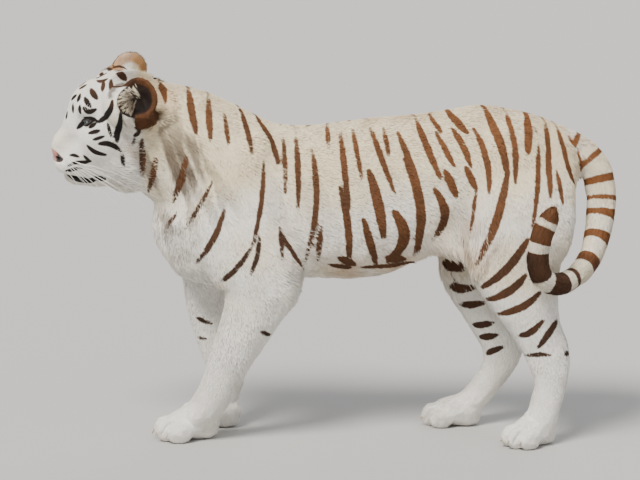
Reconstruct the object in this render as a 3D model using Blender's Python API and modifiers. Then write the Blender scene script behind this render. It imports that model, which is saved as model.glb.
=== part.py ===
"""A white tigress standing with her tail curled forward, as a life-size still model.

The whole animal is built as overlapping muscles and lofted limbs, fused into one
surface, and then parted by thin cuts into the pieces that a person would name.
The solids reach out to the tips of the coat.
"""

import math

import bmesh
import bpy
from mathutils import Matrix, Vector

# ---------------------------------------------------------------- driving sizes, metres

CUT_GAP = 0.0004  # width of the cuts between neighbouring pieces
FUSE_VOXEL = 0.005  # grid on which the overlapping muscles are fused
FINE_SMOOTHING = 6  # passes that soften the ears, the paws and the tail
HEAD_SMOOTHING = 16  # passes that melt the muscles of the head into one another
BODY_SMOOTHING = 110  # passes that do the same for the trunk, the neck and the legs
TRIANGLES = 5100  # about this many in the whole skin before it is parted
RING_POINTS = 32
RING_STEPS = 4  # rings between two stations of a loft
BALL_POINTS = 24  # around a ball
BALL_RINGS = 16  # along a ball
EYE_POINTS = 16  # around an eye, its socket and the nose
EYE_RINGS = 10

EYE_RADIUS = 0.0165
EYE_PLACE = Vector((-0.676, 0.059, 0.921))  # left eye mirrored, with the head upright
SOLE_SINK = 0.007  # how much of each paw is cut away to leave its flat sole

HEAD_PIVOT = Vector((-0.560, 0.0, 0.870))  # where the skull meets the neck
HEAD_ROLL = math.radians(18)  # the crown leans towards the tigress's left
HEAD_YAW = math.radians(9)  # the nose turns a little to her left

SIDES = {"left": -1, "right": 1}  # she faces -X, so her left is -Y

# ---------------------------------------------------------------- lofts along the body
# Each station of the trunk: x, back, belly, half width.
TRUNK = [
    (-0.475, 0.720, 0.520, 0.060),
    (-0.440, 0.800, 0.460, 0.105),
    (-0.360, 0.890, 0.430, 0.140),
    (-0.270, 0.915, 0.428, 0.155),
    (-0.180, 0.890, 0.438, 0.160),
    (-0.080, 0.880, 0.450, 0.163),
    (0.040, 0.895, 0.447, 0.166),
    (0.140, 0.906, 0.458, 0.162),
    (0.240, 0.913, 0.500, 0.150),
    (0.330, 0.928, 0.535, 0.138),
    (0.410, 0.940, 0.550, 0.132),
    (0.500, 0.928, 0.560, 0.132),
    (0.590, 0.904, 0.590, 0.120),
    (0.650, 0.872, 0.640, 0.095),
    (0.685, 0.840, 0.700, 0.055),
]

# The other lofts run along a path. Each station: x, y, z, half depth, half width.
NECK = [
    (-0.180, 0.000, 0.710, 0.165, 0.135),
    (-0.280, 0.000, 0.750, 0.175, 0.135),
    (-0.370, -0.002, 0.792, 0.178, 0.130),
    (-0.450, -0.004, 0.835, 0.168, 0.122),
    (-0.520, -0.006, 0.872, 0.145, 0.112),
    (-0.570, -0.006, 0.895, 0.115, 0.098),
]

TAIL = [
    (0.600, 0.000, 0.845, 0.050, 0.050),
    (0.655, 0.000, 0.828, 0.047, 0.048),
    (0.705, -0.003, 0.796, 0.046, 0.047),
    (0.740, -0.008, 0.750, 0.045, 0.046),
    (0.753, -0.018, 0.690, 0.043, 0.044),
    (0.750, -0.036, 0.630, 0.041, 0.041),
    (0.736, -0.070, 0.572, 0.038, 0.038),
    (0.710, -0.118, 0.522, 0.036, 0.036),
    (0.668, -0.174, 0.484, 0.034, 0.034),
    (0.616, -0.222, 0.470, 0.033, 0.033),
    (0.573, -0.247, 0.490, 0.032, 0.032),
    (0.557, -0.256, 0.532, 0.032, 0.032),
    (0.559, -0.260, 0.580, 0.032, 0.032),
    (0.571, -0.260, 0.624, 0.032, 0.032),
    (0.586, -0.258, 0.656, 0.028, 0.028),
    (0.597, -0.256, 0.679, 0.016, 0.016),
]

FORELEG = {
    "left": [
        (-0.330, -0.100, 0.640, 0.108, 0.070),
        (-0.265, -0.118, 0.560, 0.114, 0.075),
        (-0.201, -0.122, 0.470, 0.124, 0.074),
        (-0.213, -0.122, 0.395, 0.092, 0.067),
        (-0.238, -0.118, 0.335, 0.078, 0.062),
        (-0.264, -0.112, 0.280, 0.069, 0.057),
        (-0.286, -0.105, 0.230, 0.062, 0.053),
        (-0.304, -0.099, 0.185, 0.058, 0.051),
        (-0.324, -0.092, 0.140, 0.055, 0.052),
        (-0.352, -0.084, 0.098, 0.050, 0.054),
        (-0.385, -0.078, 0.066, 0.040, 0.056),
    ],
    "right": [
        (-0.360, 0.100, 0.640, 0.108, 0.070),
        (-0.345, 0.112, 0.560, 0.114, 0.075),
        (-0.335, 0.114, 0.470, 0.106, 0.074),
        (-0.338, 0.112, 0.395, 0.092, 0.067),
        (-0.337, 0.109, 0.335, 0.082, 0.062),
        (-0.330, 0.104, 0.280, 0.074, 0.057),
        (-0.320, 0.098, 0.230, 0.066, 0.053),
        (-0.308, 0.092, 0.185, 0.060, 0.051),
        (-0.303, 0.086, 0.140, 0.056, 0.052),
        (-0.313, 0.080, 0.098, 0.050, 0.054),
        (-0.330, 0.076, 0.066, 0.040, 0.056),
    ],
}

HINDLEG = {
    "left": [
        (0.515, -0.070, 0.770, 0.140, 0.070),
        (0.522, -0.095, 0.690, 0.156, 0.082),
        (0.518, -0.108, 0.610, 0.156, 0.084),
        (0.506, -0.118, 0.530, 0.143, 0.078),
        (0.520, -0.124, 0.455, 0.117, 0.068),
        (0.543, -0.128, 0.390, 0.092, 0.059),
        (0.566, -0.129, 0.330, 0.074, 0.050),
        (0.594, -0.129, 0.272, 0.069, 0.044),
        (0.606, -0.129, 0.224, 0.062, 0.040),
        (0.611, -0.130, 0.178, 0.050, 0.038),
        (0.600, -0.132, 0.128, 0.047, 0.040),
        (0.588, -0.137, 0.085, 0.046, 0.045),
        (0.577, -0.141, 0.050, 0.044, 0.044),
    ],
    "right": [
        (0.500, 0.070, 0.770, 0.140, 0.070),
        (0.492, 0.095, 0.690, 0.156, 0.082),
        (0.462, 0.108, 0.610, 0.154, 0.084),
        (0.430, 0.115, 0.530, 0.140, 0.078),
        (0.418, 0.115, 0.455, 0.116, 0.068),
        (0.432, 0.113, 0.390, 0.096, 0.059),
        (0.456, 0.110, 0.330, 0.080, 0.051),
        (0.482, 0.106, 0.272, 0.073, 0.045),
        (0.494, 0.102, 0.220, 0.064, 0.041),
        (0.478, 0.098, 0.165, 0.050, 0.039),
        (0.440, 0.093, 0.112, 0.043, 0.042),
        (0.402, 0.089, 0.070, 0.040, 0.046),
        (0.372, 0.087, 0.050, 0.036, 0.044),
    ],
}

# Where each paw stands: x and y of its middle, how far its toes turn outwards, its size.
PAWS = {
    "forepaw_left": (-0.402, -0.074, 16, 1.06),
    "forepaw_right": (-0.345, 0.074, -8, 1.04),
    "hindpaw_left": (0.556, -0.146, 30, 0.96),
    "hindpaw_right": (0.352, 0.086, -4, 0.98),
}
# A paw's own lumps, toes towards -X: x, y, z, and radii along x, y, z.
PAW_LUMPS = [
    (0.012, 0.000, 0.048, 0.072, 0.052, 0.047),  # instep
    (0.036, 0.000, 0.028, 0.044, 0.042, 0.030),  # heel pad
    (-0.058, -0.017, 0.033, 0.038, 0.0205, 0.035),  # inner middle toe
    (-0.058, 0.017, 0.033, 0.038, 0.0205, 0.035),  # outer middle toe
    (-0.036, -0.047, 0.030, 0.036, 0.0195, 0.031),  # inner toe
    (-0.036, 0.047, 0.030, 0.036, 0.0195, 0.031),  # outer toe
]

# ---------------------------------------------------------------- muscles, as ellipsoids
# Each: x, spread from the mid-plane, z, then its radii along x, y, z, and its pitch in
# degrees, which leans its top towards the tail. A muscle off the mid-plane comes in pairs.
BODY_MUSCLES = [
    (-0.245, 0.098, 0.765, 0.070, 0.052, 0.120, 28),  # shoulder blade
    (-0.315, 0.112, 0.640, 0.095, 0.058, 0.115, 20),  # point of the shoulder
    (-0.205, 0.118, 0.560, 0.090, 0.050, 0.090, 0),  # triceps
    (-0.445, 0.000, 0.590, 0.062, 0.085, 0.105, -12),  # breast
    (0.500, 0.088, 0.770, 0.120, 0.060, 0.120, 0),  # haunch
    (0.610, 0.048, 0.760, 0.075, 0.065, 0.110, 0),  # buttock
    (0.335, 0.085, 0.585, 0.080, 0.040, 0.070, 20),  # flank fold
]

HEAD_MUSCLES = [
    (-0.575, 0.000, 0.945, 0.110, 0.106, 0.105, 0),  # braincase
    (-0.640, 0.000, 0.936, 0.088, 0.066, 0.088, 0),  # forehead
    (-0.682, 0.038, 0.952, 0.038, 0.034, 0.032, 0),  # brow
    (-0.668, 0.036, 0.917, 0.052, 0.031, 0.042, 0),  # around the eye
    (-0.660, 0.000, 0.865, 0.085, 0.070, 0.090, 20),  # middle of the face
    (-0.706, 0.000, 0.882, 0.043, 0.035, 0.082, 16),  # bridge of the nose
    (-0.744, 0.000, 0.828, 0.041, 0.034, 0.052, 24),  # nose
    (-0.700, 0.000, 0.800, 0.080, 0.058, 0.060, 0),  # upper jaw
    (-0.734, 0.031, 0.782, 0.043, 0.034, 0.034, 0),  # whisker pad
    (-0.705, 0.000, 0.735, 0.045, 0.038, 0.036, 0),  # chin
    (-0.655, 0.022, 0.752, 0.085, 0.047, 0.047, 0),  # lower jaw
    (-0.610, 0.042, 0.855, 0.104, 0.072, 0.108, 0),  # cheekbone
    (-0.655, 0.036, 0.815, 0.075, 0.050, 0.068, 0),  # cheek
    (-0.578, 0.062, 0.800, 0.086, 0.066, 0.095, 0),  # cheek ruff
    (-0.540, 0.058, 0.875, 0.090, 0.072, 0.120, 0),  # behind the cheek
]

# Middle of each ear, with the head upright; the right one is pricked a little forward.
EAR_PLACE = {"left": Vector((-0.556, -0.094, 1.000)), "right": Vector((-0.570, 0.094, 1.002))}
EAR_RADII = (0.028, 0.070, 0.058)  # depth, width, height
EAR_HOLLOW = 0.78  # the hollow's share of the ear's width and height
EAR_TURN = {"left": math.radians(58), "right": math.radians(42)}  # of their mouths, outwards
EAR_SPLAY = math.radians(24)  # how far its tip leans away from the crown
EAR_BASE_FACING = Vector((0.17, 0.84, 0.51))  # the skull faces this way under the right ear
EAR_BASE_RISE = 0.007  # how far above the middle of an ear its base is cut
EAR_BASE_HALF = 0.085

NOSE_PLACE = Vector((-0.782, 0.0, 0.806))  # the bare nose, with the head upright
NOSE_RADII = (0.020, 0.021, 0.019)

# ---------------------------------------------------------------- cuts
# Each cut: its middle, the direction it faces, and its half sizes along and across.
BODY_CUTS = {
    "neck": ((-0.400, 0.0, 0.800), (0.72, 0.0, -0.69), 0.270, 0.250),
    "head": ((-0.490, 0.0, 0.865), (0.943, 0.0, -0.333), 0.235, 0.200),
    "tail_root": ((0.753, -0.018, 0.690), (0.05, -0.20, -0.97), 0.060, 0.060),
    "tail_middle": ((0.736, -0.070, 0.572), (-0.30, -0.60, -0.73), 0.056, 0.056),
    "tail_bend": ((0.643, -0.200, 0.475), (-0.73, -0.66, -0.18), 0.048, 0.048),
    "tail_tip": ((0.562, -0.253, 0.513), (-0.35, -0.20, 0.91), 0.045, 0.045),
    "foreleg_left": ((-0.210, -0.120, 0.405), (0.0, 0.0, 1.0), 0.140, 0.105),
    "forepaw_left": ((-0.331, -0.090, 0.128), (-0.55, 0.12, -0.83), 0.080, 0.080),
    "foreleg_right": ((-0.335, 0.120, 0.405), (0.0, 0.0, 1.0), 0.140, 0.105),
    "forepaw_right": ((-0.305, 0.084, 0.125), (0.0, 0.0, 1.0), 0.080, 0.080),
    "thigh_left": ((0.500, -0.105, 0.500), (0.0, 0.0, 1.0), 0.180, 0.104),
    "shank_left": ((0.560, -0.129, 0.345), (0.30, 0.0, -0.95), 0.110, 0.090),
    "hindpaw_left": ((0.598, -0.133, 0.122), (-0.15, 0.0, -0.98), 0.075, 0.075),
    "thigh_right": ((0.425, 0.105, 0.500), (0.0, 0.0, 1.0), 0.180, 0.104),
    "shank_right": ((0.452, 0.111, 0.345), (0.30, 0.0, -0.95), 0.105, 0.090),
    "hindpaw_right": ((0.437, 0.093, 0.112), (-0.60, 0.0, -0.80), 0.072, 0.072),
}

# A point well inside each piece, by which it is known after the cuts.
PIECES = {
    "trunk": (0.05, 0.0, 0.65),
    "neck": (-0.46, 0.0, 0.84),
    "head": (-0.64, 0.0, 0.88),
    "tail_root": (0.748, -0.042, 0.625),
    "tail_middle": (0.695, -0.140, 0.505),
    "tail_bend": (0.600, -0.233, 0.473),
    "tail_tip": (0.563, -0.260, 0.590),
    "foreleg_left": (-0.264, -0.114, 0.280),
    "foreleg_right": (-0.330, 0.104, 0.280),
    "forepaw_left": (-0.395, -0.076, 0.045),
    "forepaw_right": (-0.340, 0.076, 0.045),
    "thigh_left": (0.530, -0.126, 0.430),
    "thigh_right": (0.430, 0.115, 0.430),
    "shank_left": (0.605, -0.129, 0.230),
    "shank_right": (0.500, 0.102, 0.230),
    "hindpaw_left": (0.560, -0.145, 0.045),
    "hindpaw_right": (0.360, 0.086, 0.045),
}

COLOURS = {
    "coat": ((0.86, 0.82, 0.74), 0.85),
    "ear": ((0.55, 0.50, 0.45), 0.85),
    "eye": ((0.30, 0.36, 0.38), 0.08),
    "nose": ((0.72, 0.36, 0.32), 0.45),
}


# ---------------------------------------------------------------- helpers


def clear_scene():
    for obj in list(bpy.data.objects):
        bpy.data.objects.remove(obj, do_unlink=True)


def make_collection(name):
    collection = bpy.data.collections.new(name)
    bpy.context.scene.collection.children.link(collection)
    return collection


def make_material(name):
    colour, roughness = COLOURS[name]
    material = bpy.data.materials.new("tigress_" + name)
    material.use_nodes = True
    principled = material.node_tree.nodes["Principled BSDF"]
    principled.inputs["Base Color"].default_value = (*colour, 1.0)
    principled.inputs["Roughness"].default_value = roughness
    principled.inputs["Metallic"].default_value = 0.0
    material.diffuse_color = (*colour, 1.0)
    return material


def object_from(bm, name, collection):
    mesh = bpy.data.meshes.new(name)
    bmesh.ops.recalc_face_normals(bm, faces=bm.faces)
    bm.to_mesh(mesh)
    bm.free()
    obj = bpy.data.objects.new(name, mesh)
    collection.objects.link(obj)
    return obj


def apply_modifiers(obj):
    """Bake what the modifiers make into the object's own mesh."""
    bpy.context.view_layer.update()
    graph = bpy.context.evaluated_depsgraph_get()
    mesh = bpy.data.meshes.new_from_object(obj.evaluated_get(graph))
    obj.modifiers.clear()
    obj.data = mesh


def boolean(obj, cutter, operation):
    modifier = obj.modifiers.new(operation.lower(), "BOOLEAN")
    modifier.operation = operation
    modifier.solver = "EXACT"
    modifier.object = cutter


def hide_cutter(cutter):
    cutter.hide_render = True
    cutter.display_type = "WIRE"


# ---------------------------------------------------------------- lofts and ellipsoids


def between(stations, steps):
    """Stations with smooth ones slipped in between, each passing through the given."""
    result = []
    last = len(stations) - 1
    for index in range(last):
        before = stations[max(index - 1, 0)]
        here = stations[index]
        there = stations[index + 1]
        after = stations[min(index + 2, last)]
        for step in range(steps):
            t = step / steps
            row = []
            for p0, p1, p2, p3 in zip(before, here, there, after):
                slope = (p2 - p0) * t
                bend = (2 * p0 - 5 * p1 + 4 * p2 - p3) * t * t
                turn = (3 * p1 - p0 - 3 * p2 + p3) * t * t * t
                row.append(p1 + 0.5 * (slope + bend + turn))
            result.append(row)
    result.append(list(stations[last]))
    return result


def skin_rings(bm, rings):
    """Join rings of points into a closed tube."""
    made = []
    for ring in rings:
        made.append([bm.verts.new(point) for point in ring])
    count = len(made[0])
    for lower, upper in zip(made, made[1:]):
        for index in range(count):
            after = (index + 1) % count
            bm.faces.new((lower[index], lower[after], upper[after], upper[index]))
    bm.faces.new(list(reversed(made[0])))
    bm.faces.new(made[-1])


def loft_trunk(bm):
    rings = []
    for x, back, belly, half_width in between(TRUNK, RING_STEPS):
        middle = (back + belly) / 2
        half_height = (back - belly) / 2
        ring = []
        for index in range(RING_POINTS):
            angle = 2 * math.pi * index / RING_POINTS
            across = math.sin(angle)
            up = math.cos(angle)
            # a deep, slab-sided barrel that narrows towards the spine
            width = half_width * (1.0 - 0.10 * up)
            square = math.copysign(abs(across) ** 0.86, across)
            ring.append((x, width * square, middle + half_height * up))
        rings.append(ring)
    skin_rings(bm, rings)


def loft_path(bm, stations):
    """A limb whose rings stand across its path; depth is fore and aft, width sideways."""
    rows = between(stations, RING_STEPS)
    rings = []
    for index, row in enumerate(rows):
        ahead = rows[min(index + 1, len(rows) - 1)]
        behind = rows[max(index - 1, 0)]
        along = (Vector(ahead[:3]) - Vector(behind[:3])).normalized()
        side = Vector((0.0, 1.0, 0.0))
        side = (side - along * side.dot(along)).normalized()
        deep = along.cross(side)
        centre = Vector(row[:3])
        ring = []
        for step in range(RING_POINTS):
            angle = 2 * math.pi * step / RING_POINTS
            offset = deep * math.cos(angle) * row[3] + side * math.sin(angle) * row[4]
            ring.append(centre + offset)
        rings.append(ring)
    skin_rings(bm, rings)


def add_ellipsoid(bm, matrix, radii, points=BALL_POINTS, steps=BALL_RINGS):
    """A ball stretched to three radii, as rings about its own X axis."""
    rings = []
    for step in range(steps):
        angle = math.pi * (step + 0.5) / steps
        along = -math.cos(angle) / math.cos(math.pi / 2 / steps)
        reach = math.sin(angle)
        ring = []
        for index in range(points):
            around = 2 * math.pi * index / points
            across = reach * math.sin(around)
            up = reach * math.cos(around)
            point = (radii[0] * along, radii[1] * across, radii[2] * up)
            ring.append(matrix @ Vector(point))
        rings.append(ring)
    skin_rings(bm, rings)


def add_muscles(bm, muscles, placing):
    for x, spread, z, rx, ry, rz, pitch in muscles:
        turn = Matrix.Rotation(math.radians(pitch), 4, "Y")
        for side in (-1, 1) if spread else (1,):
            place = Matrix.Translation((x, side * spread, z))
            add_ellipsoid(bm, placing @ place @ turn, (rx, ry, rz))


def add_paw(bm, x, y, turn, size):
    """Toes that turn out by the given angle, in degrees, with a sole a little below the floor."""
    placing = Matrix.Translation((x, y, -SOLE_SINK)) @ Matrix.Rotation(math.radians(turn), 4, "Z")
    for px, py, pz, rx, ry, rz in PAW_LUMPS:
        place = Matrix.Translation((px * size, py * size, pz * size + SOLE_SINK * 0.5))
        add_ellipsoid(bm, placing @ place, (rx * size, ry * size, rz * size))


def head_turned():
    """Carries anything built on the upright head to where the head is held."""
    turned = Matrix.Rotation(HEAD_YAW, 4, "Z") @ Matrix.Rotation(HEAD_ROLL, 4, "X")
    return Matrix.Translation(HEAD_PIVOT) @ turned @ Matrix.Translation(-HEAD_PIVOT)


def ear_placing(name):
    """The frame of one ear: its mouth looks along -X, its width lies along Y."""
    side = SIDES[name]
    place = Matrix.Translation(EAR_PLACE[name])
    splay = Matrix.Rotation(-side * EAR_SPLAY, 4, "X")
    turn = Matrix.Rotation(-side * EAR_TURN[name], 4, "Z")
    return head_turned() @ place @ splay @ turn


# ---------------------------------------------------------------- the whole skin


def add_ears(bm):
    """Two cupped ears, each an ellipsoid with a deep hollow facing its mouth."""
    depth, width, height = EAR_RADII
    for side in SIDES:
        placing = ear_placing(side)
        cup = []
        # the outer shell from its back to its rim, and the hollow from the rim inwards
        for step in range(0, 13):
            angle = math.pi / 2 * step / 12
            cup.append((depth * math.cos(angle), math.sin(angle)))
        for step in range(0, 10):
            angle = math.pi / 2 * step / 9
            inner = EAR_HOLLOW * math.cos(angle)
            cup.append((depth * 0.62 * math.sin(angle) - depth * 0.12, inner))
        rings = []
        for x, reach in cup:
            ring = []
            for index in range(RING_POINTS):
                angle = 2 * math.pi * index / RING_POINTS
                reach_now = max(reach, 0.004)
                point = (x, width * reach_now * math.sin(angle), height * reach_now * math.cos(angle))
                ring.append(placing @ Vector(point))
            rings.append(ring)
        skin_rings(bm, rings)


def is_fine(place):
    """Whether a place on the skin lies on an ear, a paw or the free part of the tail."""
    if place.z < 0.075 or place.x > 0.700:
        return True
    if place.y < -0.205 and place.x > 0.5:
        return True
    for side in SIDES:
        ear = ear_placing(side).inverted() @ place
        if ear.z > -EAR_RADII[2] * 0.75 and ear.length < EAR_RADII[1] * 1.35:
            return True
    return False


def is_head(place):
    return place.x < -0.500 and place.z > 0.690


def soften(skin):
    """Smooth each region as much as it can bear, so that the muscles melt together."""
    fine = skin.vertex_groups.new(name="fine")
    head = skin.vertex_groups.new(name="head")
    body = skin.vertex_groups.new(name="body")
    for vertex in skin.data.vertices:
        group = body
        if is_fine(vertex.co):
            group = fine
        elif is_head(vertex.co):
            group = head
        group.add([vertex.index], 1.0, "REPLACE")
    passes = {"fine": FINE_SMOOTHING, "head": HEAD_SMOOTHING, "body": BODY_SMOOTHING}
    for name, count in passes.items():
        smooth = skin.modifiers.new("soften_" + name, "SMOOTH")
        smooth.factor = 0.5
        smooth.iterations = count
        smooth.vertex_group = name
    even = skin.modifiers.new("even_out", "SMOOTH")
    even.factor = 0.5
    even.iterations = 4
    apply_modifiers(skin)
    skin.vertex_groups.clear()


def fuse_skin(collection):
    bm = bmesh.new()
    loft_trunk(bm)
    loft_path(bm, NECK)
    loft_path(bm, TAIL)
    for side in SIDES:
        loft_path(bm, FORELEG[side])
        loft_path(bm, HINDLEG[side])
    for x, y, turn, size in PAWS.values():
        add_paw(bm, x, y, turn, size)
    add_muscles(bm, BODY_MUSCLES, Matrix.Identity(4))
    add_muscles(bm, HEAD_MUSCLES, head_turned())
    add_ears(bm)
    skin = object_from(bm, "skin", collection)
    remesh = skin.modifiers.new("fuse", "REMESH")
    remesh.mode = "VOXEL"
    remesh.voxel_size = FUSE_VOXEL
    remesh.adaptivity = 0.0
    apply_modifiers(skin)
    soften(skin)
    return skin


def lighten_skin(skin):
    skin.data.calc_loop_triangles()
    decimate = skin.modifiers.new("lighten", "DECIMATE")
    decimate.decimate_type = "COLLAPSE"
    decimate.ratio = TRIANGLES / len(skin.data.loop_triangles)
    apply_modifiers(skin)


# ---------------------------------------------------------------- cutting it up


def block(bm, placing, sizes):
    scale = Matrix.Diagonal((*sizes, 1.0))
    bmesh.ops.create_cube(bm, size=2.0, matrix=placing @ scale)


def slab_placing(middle, facing):
    """A frame whose Z faces the given way and whose Y stays as level as it can."""
    up = Vector(facing).normalized()
    across = (Vector((0.0, 1.0, 0.0)) - up * up.y).normalized()
    along = across.cross(up)
    turn = Matrix((along, across, up)).transposed().to_4x4()
    return Matrix.Translation(middle) @ turn


def make_cuts(collection):
    """A cutter for each thin slab, and one for the floor that levels the soles."""
    blocks = {}
    for name, (middle, facing, along, across) in BODY_CUTS.items():
        blocks[name] = (slab_placing(middle, facing), (along, across, CUT_GAP / 2))
    for side in SIDES:
        facing = Vector((EAR_BASE_FACING.x, SIDES[side] * EAR_BASE_FACING.y, EAR_BASE_FACING.z))
        placing = head_turned() @ slab_placing(EAR_PLACE[side] + facing * EAR_BASE_RISE, facing)
        blocks["ear_" + side] = (placing, (EAR_BASE_HALF, EAR_BASE_HALF, CUT_GAP / 2))
    blocks["floor"] = (Matrix.Translation((0.0, 0.0, -0.1)), (1.0, 0.5, 0.1))
    cutters = []
    for name, (placing, sizes) in blocks.items():
        bm = bmesh.new()
        block(bm, placing, sizes)
        cutter = object_from(bm, "cut_" + name, collection)
        hide_cutter(cutter)
        cutters.append(cutter)
    return cutters


def ball_cutter(name, matrix, radii, collection):
    bm = bmesh.new()
    add_ellipsoid(bm, matrix, radii, EYE_POINTS, EYE_RINGS)
    cutter = object_from(bm, name, collection)
    hide_cutter(cutter)
    return cutter


def eye_placing(side):
    place = Matrix.Translation((EYE_PLACE.x, side * EYE_PLACE.y, EYE_PLACE.z))
    return head_turned() @ place


def split_loose(skin):
    """Every separate piece of the cut skin, as its own small mesh."""
    bm = bmesh.new()
    bm.from_mesh(skin.data)
    bm.verts.ensure_lookup_table()
    seen = set()
    pieces = []
    for start in bm.verts:
        if start in seen:
            continue
        island = {start}
        front = [start]
        while front:
            vertex = front.pop()
            for edge in vertex.link_edges:
                other = edge.other_vert(vertex)
                if other not in island:
                    island.add(other)
                    front.append(other)
        seen |= island
        pieces.append(island)
    result = []
    for island in pieces:
        piece = bmesh.new()
        twin = {}
        for vertex in sorted(island, key=lambda v: v.index):
            twin[vertex] = piece.verts.new(vertex.co)
        faces = {face for vertex in island for face in vertex.link_faces}
        for face in sorted(faces, key=lambda f: f.index):
            piece.faces.new([twin[vertex] for vertex in face.verts])
        result.append(piece)
    bm.free()
    return result


def distance_to(piece, point):
    return min((vertex.co - Vector(point)).length for vertex in piece.verts)


def build():
    clear_scene()
    parts = make_collection("white_tiger")
    cutters = make_collection("cutters")
    materials = {name: make_material(name) for name in COLOURS}

    skin = fuse_skin(parts)
    lighten_skin(skin)
    for cutter in make_cuts(cutters):
        boolean(skin, cutter, "DIFFERENCE")
    apply_modifiers(skin)

    places = dict(PIECES)
    for side in SIDES:
        tip = Vector((0.0, 0.0, EAR_RADII[2] * 0.8))
        places["ear_" + side] = tuple(ear_placing(side) @ tip)
    loose = split_loose(skin)
    print("pieces after the cuts:", len(loose), "named:", len(places))
    bpy.data.objects.remove(skin, do_unlink=True)
    made = {}
    for name, place in places.items():
        piece = min(loose, key=lambda bm: distance_to(bm, place))
        loose.remove(piece)
        made[name] = object_from(piece, name, parts)
        made[name].data.materials.append(materials["ear" if "ear" in name else "coat"])

    head = made["head"]
    for name, side in SIDES.items():
        bm = bmesh.new()
        add_ellipsoid(bm, eye_placing(side), (EYE_RADIUS,) * 3, EYE_POINTS, EYE_RINGS)
        eye = object_from(bm, "eye_" + name, parts)
        eye.data.materials.append(materials["eye"])
        for polygon in eye.data.polygons:
            polygon.use_smooth = True
        wider = (EYE_RADIUS + CUT_GAP,) * 3
        boolean(head, ball_cutter("socket_" + name, eye_placing(side), wider, cutters), "DIFFERENCE")
    nose_place = head_turned() @ Matrix.Translation(NOSE_PLACE)
    nose = made["nose"] = head.copy()
    nose.data = head.data.copy()
    nose.name = "nose"
    nose.modifiers.clear()
    nose.data.materials.clear()
    nose.data.materials.append(materials["nose"])
    parts.objects.link(nose)
    boolean(nose, ball_cutter("nose_cell", nose_place, NOSE_RADII, cutters), "INTERSECT")
    wider = [radius + CUT_GAP for radius in NOSE_RADII]
    boolean(head, ball_cutter("nose_room", nose_place, wider, cutters), "DIFFERENCE")
    apply_modifiers(head)
    apply_modifiers(nose)
    for cutter in list(cutters.objects):
        bpy.data.objects.remove(cutter, do_unlink=True)
    centre_on_floor(parts)


def centre_on_floor(parts):
    """Put the origin at the bottom centre of the box around the whole animal."""
    corners = [vertex.co for obj in parts.objects for vertex in obj.data.vertices]
    low = [min(corner[axis] for corner in corners) for axis in range(3)]
    high = [max(corner[axis] for corner in corners) for axis in range(3)]
    shift = Vector((-(low[0] + high[0]) / 2, -(low[1] + high[1]) / 2, -low[2]))
    print("box", [round(value, 4) for value in low], [round(value, 4) for value in high])
    print("moved by", [round(value, 4) for value in shift])
    for obj in parts.objects:
        obj.data.transform(Matrix.Translation(shift))
        obj.data.calc_loop_triangles()
    total = sum(len(obj.data.loop_triangles) for obj in parts.objects)
    print("objects", len(parts.objects), "triangles", total)


build()
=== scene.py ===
# %% [markdown]
# # A white tigress, life size
#
# She stands still with her tail curled forward round her left thigh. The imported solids
# give her outline, out to the tips of the coat. This lesson grows one skin inside them,
# models the folds of the face, paints her stripes, combs on a coat of mesh tufts, and
# sets in her eyes, nose, claws and whiskers.

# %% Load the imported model
import math

import bmesh
import bpy
import numpy as np
from mathutils import Matrix, Vector, noise
from mathutils.bvhtree import BVHTree


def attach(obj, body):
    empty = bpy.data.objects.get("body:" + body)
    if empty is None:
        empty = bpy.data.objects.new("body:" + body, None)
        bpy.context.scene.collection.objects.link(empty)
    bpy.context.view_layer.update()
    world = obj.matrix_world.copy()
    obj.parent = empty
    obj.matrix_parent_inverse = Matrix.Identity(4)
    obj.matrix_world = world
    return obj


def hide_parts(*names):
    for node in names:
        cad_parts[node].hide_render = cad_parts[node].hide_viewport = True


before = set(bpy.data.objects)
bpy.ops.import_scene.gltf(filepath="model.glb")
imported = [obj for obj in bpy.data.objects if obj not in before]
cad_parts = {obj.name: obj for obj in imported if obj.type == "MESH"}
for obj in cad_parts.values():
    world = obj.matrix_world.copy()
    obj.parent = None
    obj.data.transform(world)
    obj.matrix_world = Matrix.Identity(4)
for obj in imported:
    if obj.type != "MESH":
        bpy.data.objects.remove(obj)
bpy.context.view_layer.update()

print("packed nodes:", len(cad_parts))

# %% [markdown]
# ## Where things are
#
# She faces -X, her left side is -Y, and the floor is z = 0. The frame's origin lies under
# the middle of her box, while her spine runs a little to her right of it. All places in
# this lesson are measured from the spine's own plane, and SPINE carries them over.

# %% The spine's plane
SPINE = np.array([-0.0053, 0.0495, 0.0])
CM = 0.01
MM = 0.001
print("spine plane at y =", SPINE[1], "m")


# %% [markdown]
# ## Small helpers
#
# A coat has hundreds of thousands of faces, so meshes are filled from whole arrays
# rather than face by face. The same two readers fetch points and normals back.


# %% Mesh helpers
def unit(vectors):
    """Each row brought to length one."""
    length = np.linalg.norm(vectors, axis=-1, keepdims=True)
    return vectors / np.maximum(length, 1e-12)


def ease(value, low, high):
    """0 below low, 1 above high, and a smooth step between."""
    share = np.clip((value - low) / (high - low), 0.0, 1.0)
    return share * share * (3.0 - 2.0 * share)


def show(name, mesh, material):
    """Put a mesh in the scene as a named piece, with smooth shading."""
    piece = bpy.data.objects.new(name, mesh)
    bpy.context.scene.collection.objects.link(piece)
    piece.data.materials.append(material)
    piece.data.shade_smooth()
    return piece


def mesh_of(name, points, faces):
    """A mesh from an array of points and an array of faces with equal numbers of corners."""
    mesh = bpy.data.meshes.new(name)
    faces = np.ascontiguousarray(faces, np.int32)
    mesh.vertices.add(len(points))
    mesh.vertices.foreach_set("co", np.ascontiguousarray(points, np.float32).ravel())
    mesh.loops.add(faces.size)
    mesh.loops.foreach_set("vertex_index", faces.ravel())
    mesh.polygons.add(len(faces))
    starts = np.arange(0, faces.size, faces.shape[1], dtype=np.int32)
    mesh.polygons.foreach_set("loop_start", starts)
    mesh.update(calc_edges=True)
    return mesh


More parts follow.
